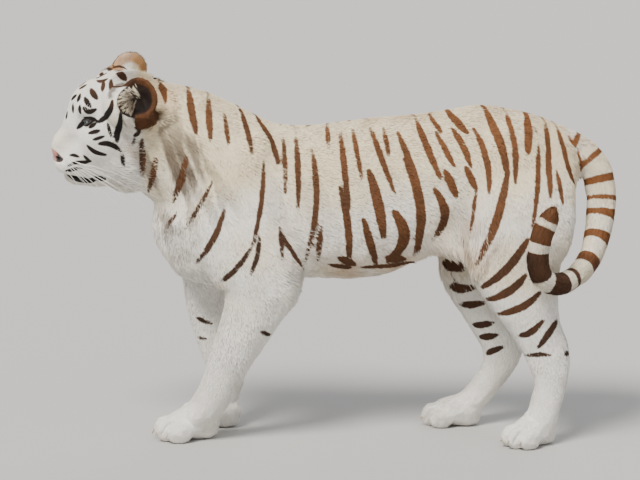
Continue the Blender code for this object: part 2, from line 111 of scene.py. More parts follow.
def points_of(mesh):
    """The mesh's points as an array."""
    found = np.empty(len(mesh.vertices) * 3, np.float32)
    mesh.vertices.foreach_get("co", found)
    return found.reshape(-1, 3).astype(float)


def normals_of(mesh):
    """The mesh's normals at its points as an array."""
    found = np.empty(len(mesh.vertices) * 3, np.float32)
    mesh.vertex_normals.foreach_get("vector", found)
    return found.reshape(-1, 3).astype(float)


def corners_of(mesh):
    """The three corners of each face, in a mesh of triangles only."""
    found = np.empty(len(mesh.polygons) * 3, np.int32)
    mesh.polygons.foreach_get("vertices", found)
    return found.reshape(-1, 3)


def move_points(mesh, points):
    """Write moved points back into the mesh."""
    mesh.vertices.foreach_set("co", np.ascontiguousarray(points, np.float32).ravel())
    mesh.update()


def apply_modifiers(piece):
    """Replace a piece's mesh by what its modifiers make of it."""
    graph = bpy.context.evaluated_depsgraph_get()
    made = bpy.data.meshes.new_from_object(piece.evaluated_get(graph))
    piece.modifiers.clear()
    spare = piece.data
    piece.data = made
    bpy.data.meshes.remove(spare)


def write_values(mesh, name, values):
    """Store one number for each point under a name that the materials can read."""
    layer = mesh.attributes.get(name) or mesh.attributes.new(name, "FLOAT", "POINT")
    layer.data.foreach_set("value", np.ascontiguousarray(values, np.float32))


# %% [markdown]
# ## Floor, light and camera
#
# The floor is plain and pale, a little darker than her coat so that white fur stands
# out. A broad key light high on her left, two weaker ones and a pale world give the even
# light of a studio. The camera looks slightly down on her left side
# through a long lens, which keeps her proportions true.


# %% Floor
def plain_material(name, colour, roughness):
    """A Principled material of one colour, to which other cells add nodes."""
    material = bpy.data.materials.new(name)
    material.use_nodes = True
    shader = material.node_tree.nodes["Principled BSDF"]
    shader.inputs["Base Color"].default_value = (*colour, 1.0)
    shader.inputs["Roughness"].default_value = roughness
    return material


floor_material = plain_material("studio_floor", (0.46, 0.455, 0.44), 0.85)
half = 40.0
corners = np.array([(-half, -half, 0), (half, -half, 0), (half, half, 0), (-half, half, 0)])
floor = show("floor", mesh_of("floor", corners, [[0, 1, 2, 3]]), floor_material)
print("floor", 2 * half, "m wide")


# %% Lamps and world
def broad_lamp(name, way, strength, spread, colour=(1.0, 1.0, 1.0)):
    """A far, wide lamp whose light comes from one side and falls evenly on the floor."""
    data = bpy.data.lights.new(name, "SUN")
    data.angle = math.radians(spread)
    data.energy = strength
    data.color = colour
    lamp = bpy.data.objects.new(name, data)
    bpy.context.scene.collection.objects.link(lamp)
    lamp.location = [3 * v for v in way]
    lamp.rotation_euler = (-Vector(way)).to_track_quat("-Z", "Y").to_euler()


broad_lamp("key_lamp", (-0.42, -0.62, 1.0), 5.0, 22.0, (1.0, 0.965, 0.90))
broad_lamp("fill_lamp", (0.8, -0.7, 0.45), 0.35, 60.0, (0.95, 0.97, 1.0))
broad_lamp("back_lamp", (0.3, 0.9, 0.7), 0.7, 50.0, (1.0, 0.99, 0.97))
world = bpy.data.worlds.new("studio")
world.use_nodes = True
world.node_tree.nodes["Background"].inputs["Color"].default_value = (0.93, 0.95, 1.0, 1.0)
world.node_tree.nodes["Background"].inputs["Strength"].default_value = 0.62
bpy.context.scene.world = world

# %% Camera
camera_data = bpy.data.cameras.new("camera")
camera_data.lens = 131.8
camera_data.sensor_width = 36.0
camera_data.clip_end = 100.0
camera = bpy.data.objects.new("camera", camera_data)
bpy.context.scene.collection.objects.link(camera)
camera.location = (-0.0393, -6.4581, 1.6557)
camera.rotation_euler = (math.radians(80.4), 0.0, 0.0)
bpy.context.scene.camera = camera
print("camera", [round(v, 2) for v in camera.location])

# %% [markdown]
# ## One skin
#
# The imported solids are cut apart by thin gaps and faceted. A voxel remesh of all of them
# together closes the gaps and gives an even, dense net, which smoothing then turns
# into skin. The trunk and limbs are smoothed most, the head less, and the ears and paws
# least, so that they keep their shape.

# %% Gather and remesh
SKIN_VOXEL = 0.003


def voxel_piece(name, mesh, size):
    """A piece whose mesh is one even net, of the given cell size, round another mesh."""
    piece = bpy.data.objects.new(name, mesh)
    bpy.context.scene.collection.objects.link(piece)
    remesh = piece.modifiers.new("remesh", "REMESH")
    remesh.mode = "VOXEL"
    remesh.voxel_size = size
    apply_modifiers(piece)
    return piece


heap = bmesh.new()
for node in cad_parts.values():
    heap.from_mesh(node.data)
skin_mesh = bpy.data.meshes.new("skin")
heap.to_mesh(skin_mesh)
heap.free()
skin = voxel_piece("skin", skin_mesh, SKIN_VOXEL)
print("skin before smoothing:", len(skin.data.vertices), "points")

# %% [markdown]
# The head leans and turns a little, so its own parts are placed in a head that faces
# straight ahead, and then turned with it.

# %% The head's own frame
HEAD_PIVOT = Vector((-0.560, 0.0, 0.870))
HEAD_ROLL = math.radians(18)
HEAD_YAW = math.radians(9)
turn = Matrix.Rotation(HEAD_YAW, 4, "Z") @ Matrix.Rotation(HEAD_ROLL, 4, "X")
about = Matrix.Translation(HEAD_PIVOT) @ turn @ Matrix.Translation(-HEAD_PIVOT)
HEAD = np.array(Matrix.Translation(SPINE) @ about)
HEAD_BACK = np.linalg.inv(HEAD)


def to_head(points):
    """Points of the frame, seen from the upright head."""
    return points @ HEAD_BACK[:3, :3].T + HEAD_BACK[:3, 3]


def from_head(points):
    """Points of the upright head, carried to where her head really is."""
    return np.asarray(points, float) @ HEAD[:3, :3].T + HEAD[:3, 3]


print("nose in the frame:", from_head([[-0.78, 0.0, 0.81]]).round(3))

# %% Parts of her body, as soft masks
EAR_ROOTS = {"left": (-0.556, -0.094, 1.000), "right": (-0.570, 0.094, 1.002)}


def ear_share(points):
    """1 on the ears, 0 on the rest of the head."""
    local = to_head(points)
    share = np.zeros(len(points))
    for side in EAR_ROOTS.values():
        reach = np.linalg.norm(local - np.array(side), axis=1)
        share = np.maximum(share, 1.0 - ease(reach, 0.060, 0.085))
    return share


def head_share(points):
    """1 on the face, falling to 0 across the neck."""
    local = to_head(points)
    along = 1.0 - ease(local[:, 0], -0.530, -0.470)
    return along * ease(local[:, 2], 0.62, 0.68)


def paw_share(points):
    """1 on the paws, 0 above the wrists."""
    return 1.0 - ease(points[:, 2], 0.085, 0.120)


# %% Smooth it
def smooth(piece, name, share, passes, factor=0.5):
    """Smooth a piece where a mask is high."""
    group = piece.vertex_groups.new(name=name)
    levels = np.round(share * 10).astype(int)
    for level in range(1, 11):
        found = np.nonzero(levels == level)[0].tolist()
        if found:
            group.add(found, level / 10, "REPLACE")
    softener = piece.modifiers.new(name, "SMOOTH")
    softener.factor = factor
    softener.iterations = passes
    softener.vertex_group = name
    apply_modifiers(piece)
    piece.vertex_groups.clear()


rough = points_of(skin.data)
fine = np.maximum(ear_share(rough), paw_share(rough))
face = head_share(rough)
smooth(skin, "body", (1.0 - fine) * (1.0 - face), 70)
smooth(skin, "face", face * (1.0 - fine), 40)
smooth(skin, "fine", fine, 5)
print("smoothed:", len(skin.data.vertices), "points")

# %% [markdown]
# Her ears are turned back, so that the near one opens to her left. Each ear turns about
# the middle of its cup, and the twist fades out where the ear grows from the skull.

# %% Turn the ears
EAR_WAS = {"left": (-0.4, -0.7, -0.6), "right": (-0.85, 0.55, -0.1)}
EAR_NOW = {"left": (-0.22, -0.96, 0.16), "right": (-0.42, 0.88, 0.20)}
TWIST_HELD = 0.072  # the twist is whole within this reach
TWIST_END = 0.105  # and gone at this one
CUP_DEPTH = 0.011
EAR_NARROWED = 0.20
rough = points_of(skin.data)
for side, root in EAR_ROOTS.items():
    middle = from_head([root])[0]
    was = unit(np.array(EAR_WAS[side]))
    now = unit(np.array(EAR_NOW[side]))
    axis = unit(np.cross(was, now))
    away = rough - middle
    reach = np.linalg.norm(away, axis=1)
    angle = (math.acos(was @ now) * (1.0 - ease(reach, TWIST_HELD, TWIST_END)))[:, None]
    turned = away * np.cos(angle) + np.cross(axis, away) * np.sin(angle)
    turned += axis * (away @ axis)[:, None] * (1 - np.cos(angle))
    near = reach < TWIST_END
    rough[near] = middle + turned[near]
    away = rough - middle - np.array([0.006, 0.0, -0.018])
    flat = np.linalg.norm(away - np.outer(away @ now, now), axis=1)
    facing = ease(normals_of(skin.data) @ was, 0.0, 0.5) * (reach < 0.085)
    rough -= now * (CUP_DEPTH * facing * (1.0 - ease(flat, 0.008, 0.040)))[:, None]
    narrow = (1.0 - ease(reach, 0.062, 0.098))[:, None]
    aside = (rough - middle) * np.array([1.0, 0.0, 0.0])
    rough += narrow * (np.array([0.008, 0.0, 0.007]) - EAR_NARROWED * aside)
    print(side, "ear turned by %.0f degrees" % math.degrees(math.acos(was @ now)))
move_points(skin.data, rough)
smooth(skin, "ear_roots", ear_share(rough) * (1 - ear_share(rough)) * 4, 12)

# %% [markdown]
# ## How her coat lies
#
# Hair is combed by guides: at each named spot, which way it lies, how long it is and how
# far its tips stand off. Every other spot takes a mean of the guides, with near ones
# counting most. On the head one rule does it all: hair runs back, away from the nose.

# %% Guides on the body: spot in cm, way, length and lift in mm
COMB = [
    ((-45, 3, 101), (0.90, 0.00, -0.35), 16, 5),  # crest of the neck
    ((-40, 11, 90), (0.75, 0.10, -0.65), 22, 7),
    ((-42, 12, 76), (0.45, 0.00, -0.90), 34, 13),
    ((-50, 5, 68), (0.30, 0.00, -0.95), 30, 11),  # throat
    ((-47, 4, 57), (0.10, 0.00, -1.00), 28, 11),  # chest
    ((-40, 6, 45), (0.40, 0.00, -0.90), 26, 11),
    ((-25, 3, 93), (0.97, 0.00, -0.25), 14, 4),  # withers
    ((-30, 15, 75), (0.60, 0.00, -0.80), 16, 5),  # shoulder
    ((-30, 17, 62), (0.50, 0.00, -0.86), 16, 5),
    ((-24, 18, 52), (0.55, 0.00, -0.83), 16, 5),
    ((-11, 15, 49), (0.85, 0.00, -0.50), 24, 11),  # elbow
    ((5, 3, 89), (1.00, 0.00, -0.15), 13, 4),  # back
    ((5, 13, 80), (0.88, 0.00, -0.45), 14, 5),
    ((5, 16, 68), (0.82, 0.00, -0.55), 16, 6),
    ((5, 14, 54), (0.80, 0.00, -0.60), 20, 8),
    ((5, 4, 45), (0.85, 0.00, -0.50), 28, 12),  # belly
    ((30, 4, 92), (0.98, 0.00, -0.20), 13, 4),  # loin
    ((30, 13, 72), (0.85, 0.00, -0.50), 16, 6),
    ((38, 14, 59), (0.35, 0.00, -0.93), 46, 16),  # fold of the flank
    ((31, 8, 53), (0.60, 0.00, -0.80), 42, 16),
    ((52, 4, 92), (0.92, 0.00, -0.40), 13, 4),  # rump
    ((50, 17, 72), (0.50, 0.00, -0.87), 15, 5),  # haunch
    ((47, 19, 55), (0.30, 0.00, -0.95), 15, 5),
    ((63, 15, 68), (0.30, 0.00, -0.95), 20, 8),
    ((68, 6, 72), (0.10, 0.00, -1.00), 20, 8),
    ((50, 5, 50), (0.30, 0.00, -0.95), 20, 8),  # inside of the thigh
    ((44, 18, 44), (0.30, 0.00, -0.95), 14, 5),  # knee
    ((55, 16, 33), (0.35, 0.00, -0.93), 12, 4),  # shank
    ((64, 14, 27), (0.20, 0.00, -0.98), 18, 7),  # hock
    ((60, 14, 17), (0.05, 0.00, -1.00), 10, 3),
    ((57, 14, 8), (-0.50, 0.00, -0.85), 8, 2),
    ((51, 14, 4), (-0.80, 0.00, -0.50), 7, 2),  # hind toes
    ((-33, 12, 36), (0.10, 0.00, -1.00), 12, 4),  # forearm
    ((-19, 13, 34), (0.35, 0.00, -0.93), 20, 8),
    ((-35, 10, 17), (-0.15, 0.00, -1.00), 10, 3),  # wrist
    ((-45, 9, 6), (-0.85, 0.00, -0.45), 7, 2),  # fore toes
]

# %% Guides on the upright head: spot in cm, length and lift in mm
HEAD_COMB = [
    ((-77, 0, 84), 3.5, 0.8),  # bridge of the nose
    ((-72, 0, 93), 5, 1.0),
    ((-66, 0, 101), 7, 1.6),  # forehead
    ((-58, 0, 105), 10, 2.5),  # crown
    ((-62, 9, 97), 8, 2.0),  # temple
    ((-65, 10, 88), 8, 2.0),  # cheek
    ((-68, 7, 91), 4, 0.8),  # round the eye
    ((-75, 4, 79), 5, 1.0),  # whisker pad
    ((-70, 7, 80), 6, 1.4),
    ((-75, 0, 73), 9, 2.5),  # chin
    ((-66, 6, 73), 12, 4.0),  # jaw
    ((-60, 9, 76), 22, 7.0),
    ((-55, 12, 83), 28, 8.0),  # ruff
    ((-54, 12, 92), 18, 5.0),
    ((-51, 8, 99), 13, 4.0),
    ((-56, 12, 103), 8, 1.5),  # ear
]
TAIL_PATH = [
    (60.0, 0.0, 84.5), (65.5, 0.0, 82.8), (70.5, -0.3, 79.6), (74.0, -0.8, 75.0),
    (75.3, -1.8, 69.0), (75.0, -3.6, 63.0), (73.6, -7.0, 57.2), (71.0, -11.8, 52.2),
    (66.8, -17.4, 48.4), (61.6, -22.2, 47.0), (57.3, -24.7, 49.0), (55.7, -25.6, 53.2),
    (55.9, -26.0, 58.0), (57.1, -26.0, 62.4), (58.6, -25.8, 65.6), (59.7, -25.6, 67.9),
]
NOSE_ROOT = np.array([-0.79, 0.0, 0.80])
print(len(COMB), "guides on the body,", len(HEAD_COMB), "on the head")


# %% Reading the guides
def both_sides(rows):
    """Guide spots and ways for both of her sides."""
    spots, ways, sizes = [], [], []
    for spot, way, length, lift in rows:
        for side in (-1, 1):
            spots.append([spot[0], side * spot[1], spot[2]])
            ways.append([way[0], side * way[1], way[2]])
            sizes.append([length, lift])
    return CM * np.array(spots, float), unit(np.array(ways, float)), MM * np.array(sizes)


BATCH = 40000  # points weighed at one time, to spare memory
LIFT_SHARE = 0.60  # how much of the guides' lift the coat takes


def guided(points, spots, values, power=4):
    """The mean of the guides' values at each point, near guides counting most."""
    result = np.zeros((len(points), values.shape[1]))
    for start in range(0, len(points), BATCH):
        part = points[start : start + BATCH]
        gap = ((part[:, None, :] - spots[None, :, :]) ** 2).sum(axis=2)
        weight = 1.0 / (gap + 1e-5) ** (power / 2)
        result[start : start + BATCH] = weight @ values / weight.sum(axis=1, keepdims=True)
    return result


def along_tail(points):
    """For each point, how far along the tail it is, its distance from it, and the way on."""
    line = SPINE + CM * np.array(TAIL_PATH)
    steps = np.linalg.norm(np.diff(line, axis=0), axis=1)
    begun = np.concatenate([[0.0], np.cumsum(steps)])
    best = np.full(len(points), 1e9)
    along = np.zeros(len(points))
    onward = np.tile([1.0, 0.0, 0.0], (len(points), 1))
    for i, length in enumerate(steps):
        step = (line[i + 1] - line[i]) / length
        share = np.clip((points - line[i]) @ step, 0.0, length)
        gap = np.linalg.norm(points - line[i] - share[:, None] * step, axis=1)
        closer = gap < best
        best[closer] = gap[closer]
        along[closer] = (begun[i] + share)[closer]
        onward[closer] = step
    return along, best, onward


def coat_at(points):
    """Which way the hair lies at each point, how long it is and how far it lifts."""
    spots, ways, sizes = both_sides(COMB)
    found = guided(points - SPINE, spots, np.hstack([ways, sizes]))
    way, size = unit(found[:, :3]), found[:, 3:]
    local = to_head(points)
    rows = [(spot, (1, 0, 0), length, lift) for spot, length, lift in HEAD_COMB]
    head_spots, _, head_sizes = both_sides(rows)
    head_size = guided(local, head_spots, head_sizes)
    head_way = unit(local - NOSE_ROOT) @ HEAD[:3, :3].T
    share = (1.0 - ease(local[:, 0], -0.545, -0.460)) * ease(local[:, 2], 0.64, 0.70)
    way = unit(way * (1 - share[:, None]) + head_way * share[:, None])
    size = size * (1 - share[:, None]) + head_size * share[:, None]
    along, gap, onward = along_tail(points)
    on_tail = (1.0 - ease(gap, 0.046, 0.056)) * ease(along, 0.05, 0.14)
    way = unit(way * (1 - on_tail[:, None]) + onward * on_tail[:, None])
    end = ease(along, 0.70, 0.85)
    tail_size = np.stack([0.014 + 0.010 * end, 0.005 + 0.002 * end], axis=1)
    size = size * (1 - on_tail[:, None]) + tail_size * on_tail[:, None]
    ears = ear_share(points)[:, None]
    size = size * (1 - ears) + np.array([0.007, 0.0010]) * ears
    return way, size[:, 0], size[:, 1] * LIFT_SHARE


# %% [markdown]
# Where the coat is deep the skin has to lie deeper too, so that the tips of the tufts end
# on the outline of the solids.

# %% Draw the skin in by the depth of the coat
rough = points_of(skin.data)
_, _, depth = coat_at(rough)
move_points(skin.data, rough - normals_of(skin.data) * depth[:, None])
smooth(skin, "settle", (1.0 - fine) * (1.0 - face * 0.7), 6)
print("coat depth: %.1f to %.1f mm" % (depth.min() * 1000, depth.max() * 1000))

# %% [markdown]
# ## The face
#
# A head is modelled like clay: a finer net where the detail is, then soft thumbs that
# swell or press a place, and thin blades that draw a groove along a line. Every stroke
# is given once for her left side and mirrored, in the upright head, in centimetres.

# %% A finer net on the face
local = to_head(points_of(skin.data))
on_face = (local[:, 0] < -0.615) & (local[:, 2] > 0.69)
net = bmesh.new()
net.from_mesh(skin.data)
net.verts.ensure_lookup_table()
finer = [e for e in net.edges if on_face[e.verts[0].index] and on_face[e.verts[1].index]]
bmesh.ops.subdivide_edges(net, edges=finer, cuts=1, use_grid_fill=True)
net.to_mesh(skin.data)
net.free()
skin.data.update()
print("net with a finer face:", len(skin.data.vertices), "points")


# %% Clay tools
class Clay:
    """The points of the head in the upright head's frame, with their normals."""

    def __init__(self, mesh):
        self.mesh = mesh
        self.all = points_of(mesh)
        local = to_head(self.all)
        self.held = np.nonzero((local[:, 0] < -0.44) & (local[:, 2] > 0.64))[0]
        self.take()

    def take(self):
        """Read the points and normals of the head as they are now."""
        self.points = to_head(self.all[self.held])
        self.normals = normals_of(self.mesh)[self.held] @ HEAD_BACK[:3, :3].T

    def give(self):
        """Write the head back, so that the next strokes see fresh normals."""
        self.all[self.held] = from_head(self.points)
        move_points(self.mesh, self.all)
        self.take()

    def thumb(self, spot, radius, push, along=None):
        """Swell (or press) a round place, along its normals or a given way."""
        for side in (-1, 1):
            at = CM * np.array([spot[0], side * spot[1], spot[2]])
            gap = np.linalg.norm(self.points - at, axis=1) / (CM * radius)
            share = np.exp(-gap * gap)[:, None]
            if spot[1] == 0:
                share = share / 2
            way = self.normals
            if along is not None:
                way = unit(np.array([along[0], side * along[1], along[2]], float))
            self.points = self.points + share * way * push * MM

    def blade(self, width, depth, *path):
        """Draw a groove (or a ridge) of a width and depth in mm along a line."""
        for side in (-1, 1):
            line = CM * np.array([(x, side * y, z) for x, y, z in path])
            gap = distance_to_line(self.points, line) / (MM * width)
            self.points = self.points - np.exp(-gap * gap)[:, None] * self.normals * depth * MM


def distance_to_line(points, line):
    """How far each point is from a line of straight pieces."""
    best = np.full(len(points), 1e9)
    for start, end in zip(line[:-1], line[1:]):
        step = end - start
        share = np.clip((points - start) @ step / (step @ step), 0.0, 1.0)
        gap = np.linalg.norm(points - start - share[:, None] * step, axis=1)
        best = np.minimum(best, gap)
    return best


# %% Swell and press
clay = Clay(skin.data)
clay.thumb((-68.5, 4.8, 97.0), 2.6, -4.0)  # ease the brow
clay.thumb((-69.6, 5.2, 94.4), 1.4, 3.5)  # fold over the eye
clay.thumb((-67.2, 7.2, 94.4), 1.4, 2.5)
clay.thumb((-76.5, 2.0, 84.0), 1.6, 2.5)  # shoulders of the bridge
clay.thumb((-74.8, 2.2, 87.0), 1.8, 3.0)
clay.thumb((-72.8, 2.2, 90.0), 1.8, 2.0)
clay.thumb((-72.5, 4.8, 86.0), 2.0, -5.0)  # hollow beside the bridge
clay.thumb((-70.8, 5.0, 90.0), 1.5, -3.5)  # hollow before the eye
clay.thumb((-77.4, 2.2, 80.9), 1.2, 3.5)  # wing of the nostril
clay.thumb((-77.2, 0.9, 77.8), 1.5, 4.0)  # upper lip under the nose
clay.thumb((-75.4, 3.4, 78.2), 2.0, 4.0)  # whisker pad
clay.thumb((-72.4, 5.4, 78.4), 2.4, 3.5)
clay.thumb((-68.0, 9.0, 86.5), 2.6, 2.0)  # cheekbone
clay.thumb((-75.0, 0.0, 73.0), 2.2, 3.0)  # chin
clay.thumb((-66.0, 8.5, 79.5), 3.0, -3.0)  # below the cheek
clay.thumb((-71.8, 0.0, 97.0), 3.4, 7.0)  # a full forehead and bridge
clay.thumb((-73.2, 0.0, 93.0), 3.0, 8.0)
clay.thumb((-75.0, 0.0, 89.0), 2.6, 5.0)
clay.thumb((-68.0, 0.0, 101.5), 4.0, 5.0)
clay.give()

# %% Draw the grooves
clay.blade(1.8, 3.0, (-78.2, 0, 79.2), (-78.0, 0, 77.6), (-77.0, 0, 76.6))  # under the nose
MOUTH = [  # from the middle of the upper lip back to the corner
    (-77.2, 0.2, 76.6), (-76.4, 2.2, 75.7), (-74.6, 4.0, 75.0),
    (-71.0, 5.4, 74.6), (-67.5, 6.5, 74.4), (-65.4, 7.4, 74.9),
]
clay.blade(3.0, 6.5, *MOUTH)
WING = [(-76.2, 2.9, 81.6), (-75.0, 4.2, 81.0), (-75.3, 4.4, 79.6)]
clay.blade(2.2, 3.5, *WING)  # round the nostril
clay.give()

# %% [markdown]
# The nose is a bare pad, set in a shallow bed. Its outline is given as angles, seen from
# a middle inside the muzzle, so the bed and the pad that is set in it later agree.

# %% Press in a bed for the nose
NOSE_MIDDLE = np.array([-0.742, 0.0, 0.802])
NOSE_REACH = 0.07  # no part of the nose is further than this from its middle
NOSE_SHAPE = [  # from its top to its foot: height angle and half width angle, in degrees
    (24, 34), (20, 48), (12, 64), (4, 78), (-6, 78), (-14, 54), (-24, 22), (-34, 8),
]
NOSTRIL = (52.0, -2.0)


def nose_angles(points):
    """Where points lie as seen from the middle of the nose: sideways and up, in degrees."""
    away = points - NOSE_MIDDLE
    side = np.degrees(np.arctan2(away[:, 1], -away[:, 0]))
    high = np.degrees(np.arctan2(away[:, 2], np.hypot(away[:, 0], away[:, 1])))
    return side, high


def nose_edge(points):
    """How far inside the outline of the nose points are, in degrees."""
    side, high = nose_angles(points)
    rows = np.array(NOSE_SHAPE[::-1], float)
    width = np.interp(high, rows[:, 0], rows[:, 1], left=-30, right=-30)
    return np.minimum(width - np.abs(side), np.minimum(24 - high, high + 34) + 2)


def nostril_depth(side, high):
    """1 in the middle of a nostril, which runs back and up like a comma."""
    lean = np.abs(side) - NOSTRIL[0]
    tall = high - NOSTRIL[1] - 0.004 * np.maximum(lean, 0) ** 2
    size = np.where(lean > 0, 24.0, 13.0)
    return np.exp(-((lean / size) ** 2) * 1.6 - (tall / 7.5) ** 2 * 1.6)


def by_the_nose(points):
    """True for points before the middle of the nose and within its reach."""
    close = np.linalg.norm(points - NOSE_MIDDLE, axis=1) < NOSE_REACH
    return close & (points[:, 0] < NOSE_MIDDLE[0])


inside = nose_edge(clay.points)
near = (inside > -6) & by_the_nose(clay.points)
side, high = nose_angles(clay.points[near])
way = unit(clay.points[near] - NOSE_MIDDLE)
bed = 0.0016 * ease(inside[near], -6, 4) + 0.0105 * nostril_depth(side, high)
clay.points[near] -= way * bed[:, None]
clay.give()
print("points under the nose:", int(near.sum()))

# %% [markdown]
# The lids are a thin shell over a ball. Two arcs that meet at the corners of the eye make
# an almond, and inside it the skin is pushed back behind the ball's surface.

# %% Open the lids
EYE_RADIUS = 0.0175
EYE_MIDDLE = np.array([-0.6790, 0.0550, 0.9215])
LID = 0.0022
GAZE = unit(np.array([-0.78, 0.60, 0.06]))
EYE_ACROSS = unit(np.array([0.62, 0.50, 0.42]))


def eye_axes(side):
    """The middle of an eye and its three ways: out along the gaze, across, and up."""
    flip = np.array([1, side, 1])
    out = GAZE * flip
    across = EYE_ACROSS * flip
    across = unit(across - out * (across @ out))
    up = np.cross(out, across) * -side
    return EYE_MIDDLE * flip, out, across, up * np.sign(up[2])


OPENING = 0.0165  # half the length of the opening
UPPER = 0.0064
LOWER = 0.0058


def lid_radius(height):
    """The radius of the arc that rises by height between the corners of the eye."""
    return (OPENING**2 + height**2) / (2 * height)


def opening(across, up):
    """How far inside the almond between the lids a place is; below 0 is outside."""
    inside = np.full(np.shape(across), 1e9)
    for height, way in ((UPPER, 1), (LOWER, -1)):
        radius = lid_radius(height)
        gap = np.hypot(across, up - way * (height - radius))
        inside = np.minimum(inside, radius - gap)
    return inside


for side in (-1, 1):
    middle, out, across, up = eye_axes(side)
    away = clay.points - middle
    reach = np.linalg.norm(away, axis=1)
    near = (reach < 0.040) & (away @ out > -0.002)
    seen = away[near]
    inside = opening(seen @ across, seen @ up)
    way = unit(seen)
    aside = np.linalg.norm(seen - np.outer(seen @ out, out), axis=1)
    lid = EYE_RADIUS + LID
    fold = ease(aside, 0.013, 0.030)
    target = lid * (1 - fold) + reach[near] * fold
    behind = EYE_RADIUS - 0.003 * ease(inside, 0, 0.002)
    target = np.where(inside > 0, np.minimum(target, behind), target)
    clay.points[near] = middle + way * target[:, None]
clay.give()
print("lids open on a ball of", round(EYE_RADIUS * 1000, 1), "mm")

# %% [markdown]
# ## The toes
#
# Her toes are part of one paw, parted by short clefts that run down to the floor. The
# same blade as on the face draws them, along lines set in each paw's own frame.

# %% Part the toes
PAWS = {
    "forepaw_left": (-40.2, -7.4, 16, 1.06),
    "forepaw_right": (-34.5, 7.4, -8, 1.04),
    "hindpaw_left": (55.6, -14.6, 30, 0.96),
    "hindpaw_right": (35.2, 8.6, -4, 0.98),
}


def on_paw(name, places):
    """Places in a paw's own frame, in cm, carried to where that paw stands."""
    x, y, turn, size = PAWS[name]
    lean = math.radians(turn)
    along, aside, height = np.array(places, float).T * size
    ahead = along * math.cos(lean) - aside * math.sin(lean)
    sideways = along * math.sin(lean) + aside * math.cos(lean)
    return SPINE + CM * np.stack([x + ahead, y + sideways, height], axis=1)


CLEFTS = [
    [(-10.2, 0.0, 0.5), (-9.6, 0.0, 3.4), (-7.6, 0.0, 6.0), (-5.4, 0.0, 7.0)],
    [(-8.6, 3.3, 0.5), (-8.0, 3.3, 3.0), (-6.2, 3.3, 5.2), (-4.2, 3.2, 6.2)],
    [(-8.6, -3.3, 0.5), (-8.0, -3.3, 3.0), (-6.2, -3.3, 5.2), (-4.2, -3.2, 6.2)],
]
CLEFT_WIDTH = 0.0042
CLEFT_DEPTH = 0.0055
body_points = points_of(skin.data)
body_normals = normals_of(skin.data)
low = np.nonzero(body_points[:, 2] < 0.10)[0]
for name in PAWS:
    for cleft in CLEFTS:
        line = on_paw(name, cleft)
        gap = distance_to_line(body_points[low], line) / CLEFT_WIDTH
        body_points[low] -= (np.exp(-gap * gap) * CLEFT_DEPTH)[:, None] * body_normals[low]
move_points(skin.data, body_points)
print("clefts:", len(PAWS) * len(CLEFTS))

# %% [markdown]
# ## Her stripes
#
# Each stripe on her sides is a bowed line in side view, as a painter would plan it: a
# width in mm, where it starts and ends, along and up in cm, and how far it bows towards
# her tail. It is carried straight onto her flank, thickens in the middle and thins out at
# its ends. Her right side repeats it with small changes, because no tiger is the same on
# both sides. Marks on her head are planned as angles about the middle of the skull: the
# turn away from the nose and the height, in degrees. Nothing is painted yet: each point
# of the skin only learns how deep inside a stripe it is, so that skin and coat agree.

# %% Stripes of the neck and shoulder
NECK = [
    (16, (-50, 102), (-46, 95), 1),
    (17, (-40, 98), (-37.5, 87), 0),
    (15, (-34.5, 96), (-33.5, 85), 0),
    (11, (-30, 92), (-28.5, 84), 0),
    (13, (-26, 93), (-22, 82), 0.5),
    (15, (-21, 90), (-15, 79), 1),
    (10, (-14, 87), (-13, 71), 0.5),
    (13, (-10.5, 88), (-9.5, 67), 0.5),
    (15, (-7, 88), (-7.5, 52), 3),
    (8, (-1.5, 88), (-1, 83), 0),
    (12, (-3, 62), (-4, 52), 0),
]
SHOULDER = [
    (11, (-19, 80), (-22, 57), 1),
    (13, (-22, 57), (-33, 45), 1),
    (14, (-29.5, 67), (-37.5, 51), 1),
    (10, (-33, 74), (-41, 60), 0.5),
    (17, (-40, 81), (-44, 68), 0.5),
    (9, (-42.5, 65), (-46, 60), 0),
    (14, (-48, 81), (-51, 70), 0),
    (9, (-20, 59), (-22.5, 49), 0.5),
    (8, (-14.5, 62), (-14, 53), 0),
    (10, (-14, 60), (-8.5, 49.5), 0),
]

# %% Stripes of the flank and belly
FLANK = [
    (14, (2, 88), (4.5, 67), 0),
    (17, (2, 73), (4.5, 51), 1),
    (11, (5.5, 88), (8, 75), 0),
    (25, (10, 77), (14, 59), 0.5),
    (18, (8.5, 64), (12, 51), 0),
    (13, (10, 89), (17, 71), 0),
    (30, (17, 66), (15.5, 52), 3.5),
    (8, (14, 88), (15.5, 81), 0),
    (15, (18, 87), (23.5, 74), 0),
    (24, (20, 80), (22.5, 53), 3),
    (16, (23, 90), (29.5, 75), 0),
    (22, (28, 72), (28, 58), 3),
    (12, (28.5, 87), (33.5, 78), 0),
    (20, (31, 77), (34, 70), 0),
    (11, (27, 91), (30, 87), 0),
    (18, (32, 92), (37, 87), 0),
    (15, (33, 88), (38, 78), 0.5),
    (17, (36.5, 78), (39.5, 72), 0),
    (9, (39.5, 72), (38.5, 60), 0),
    (15, (39, 88), (43, 71), 1.5),
    (14, (-1, 51), (5, 50), 0),
    (16, (8, 50), (24, 51), 0),
    (22, (2, 53), (6, 51), 0),
    (22, (15, 53), (20, 52), 0),
]

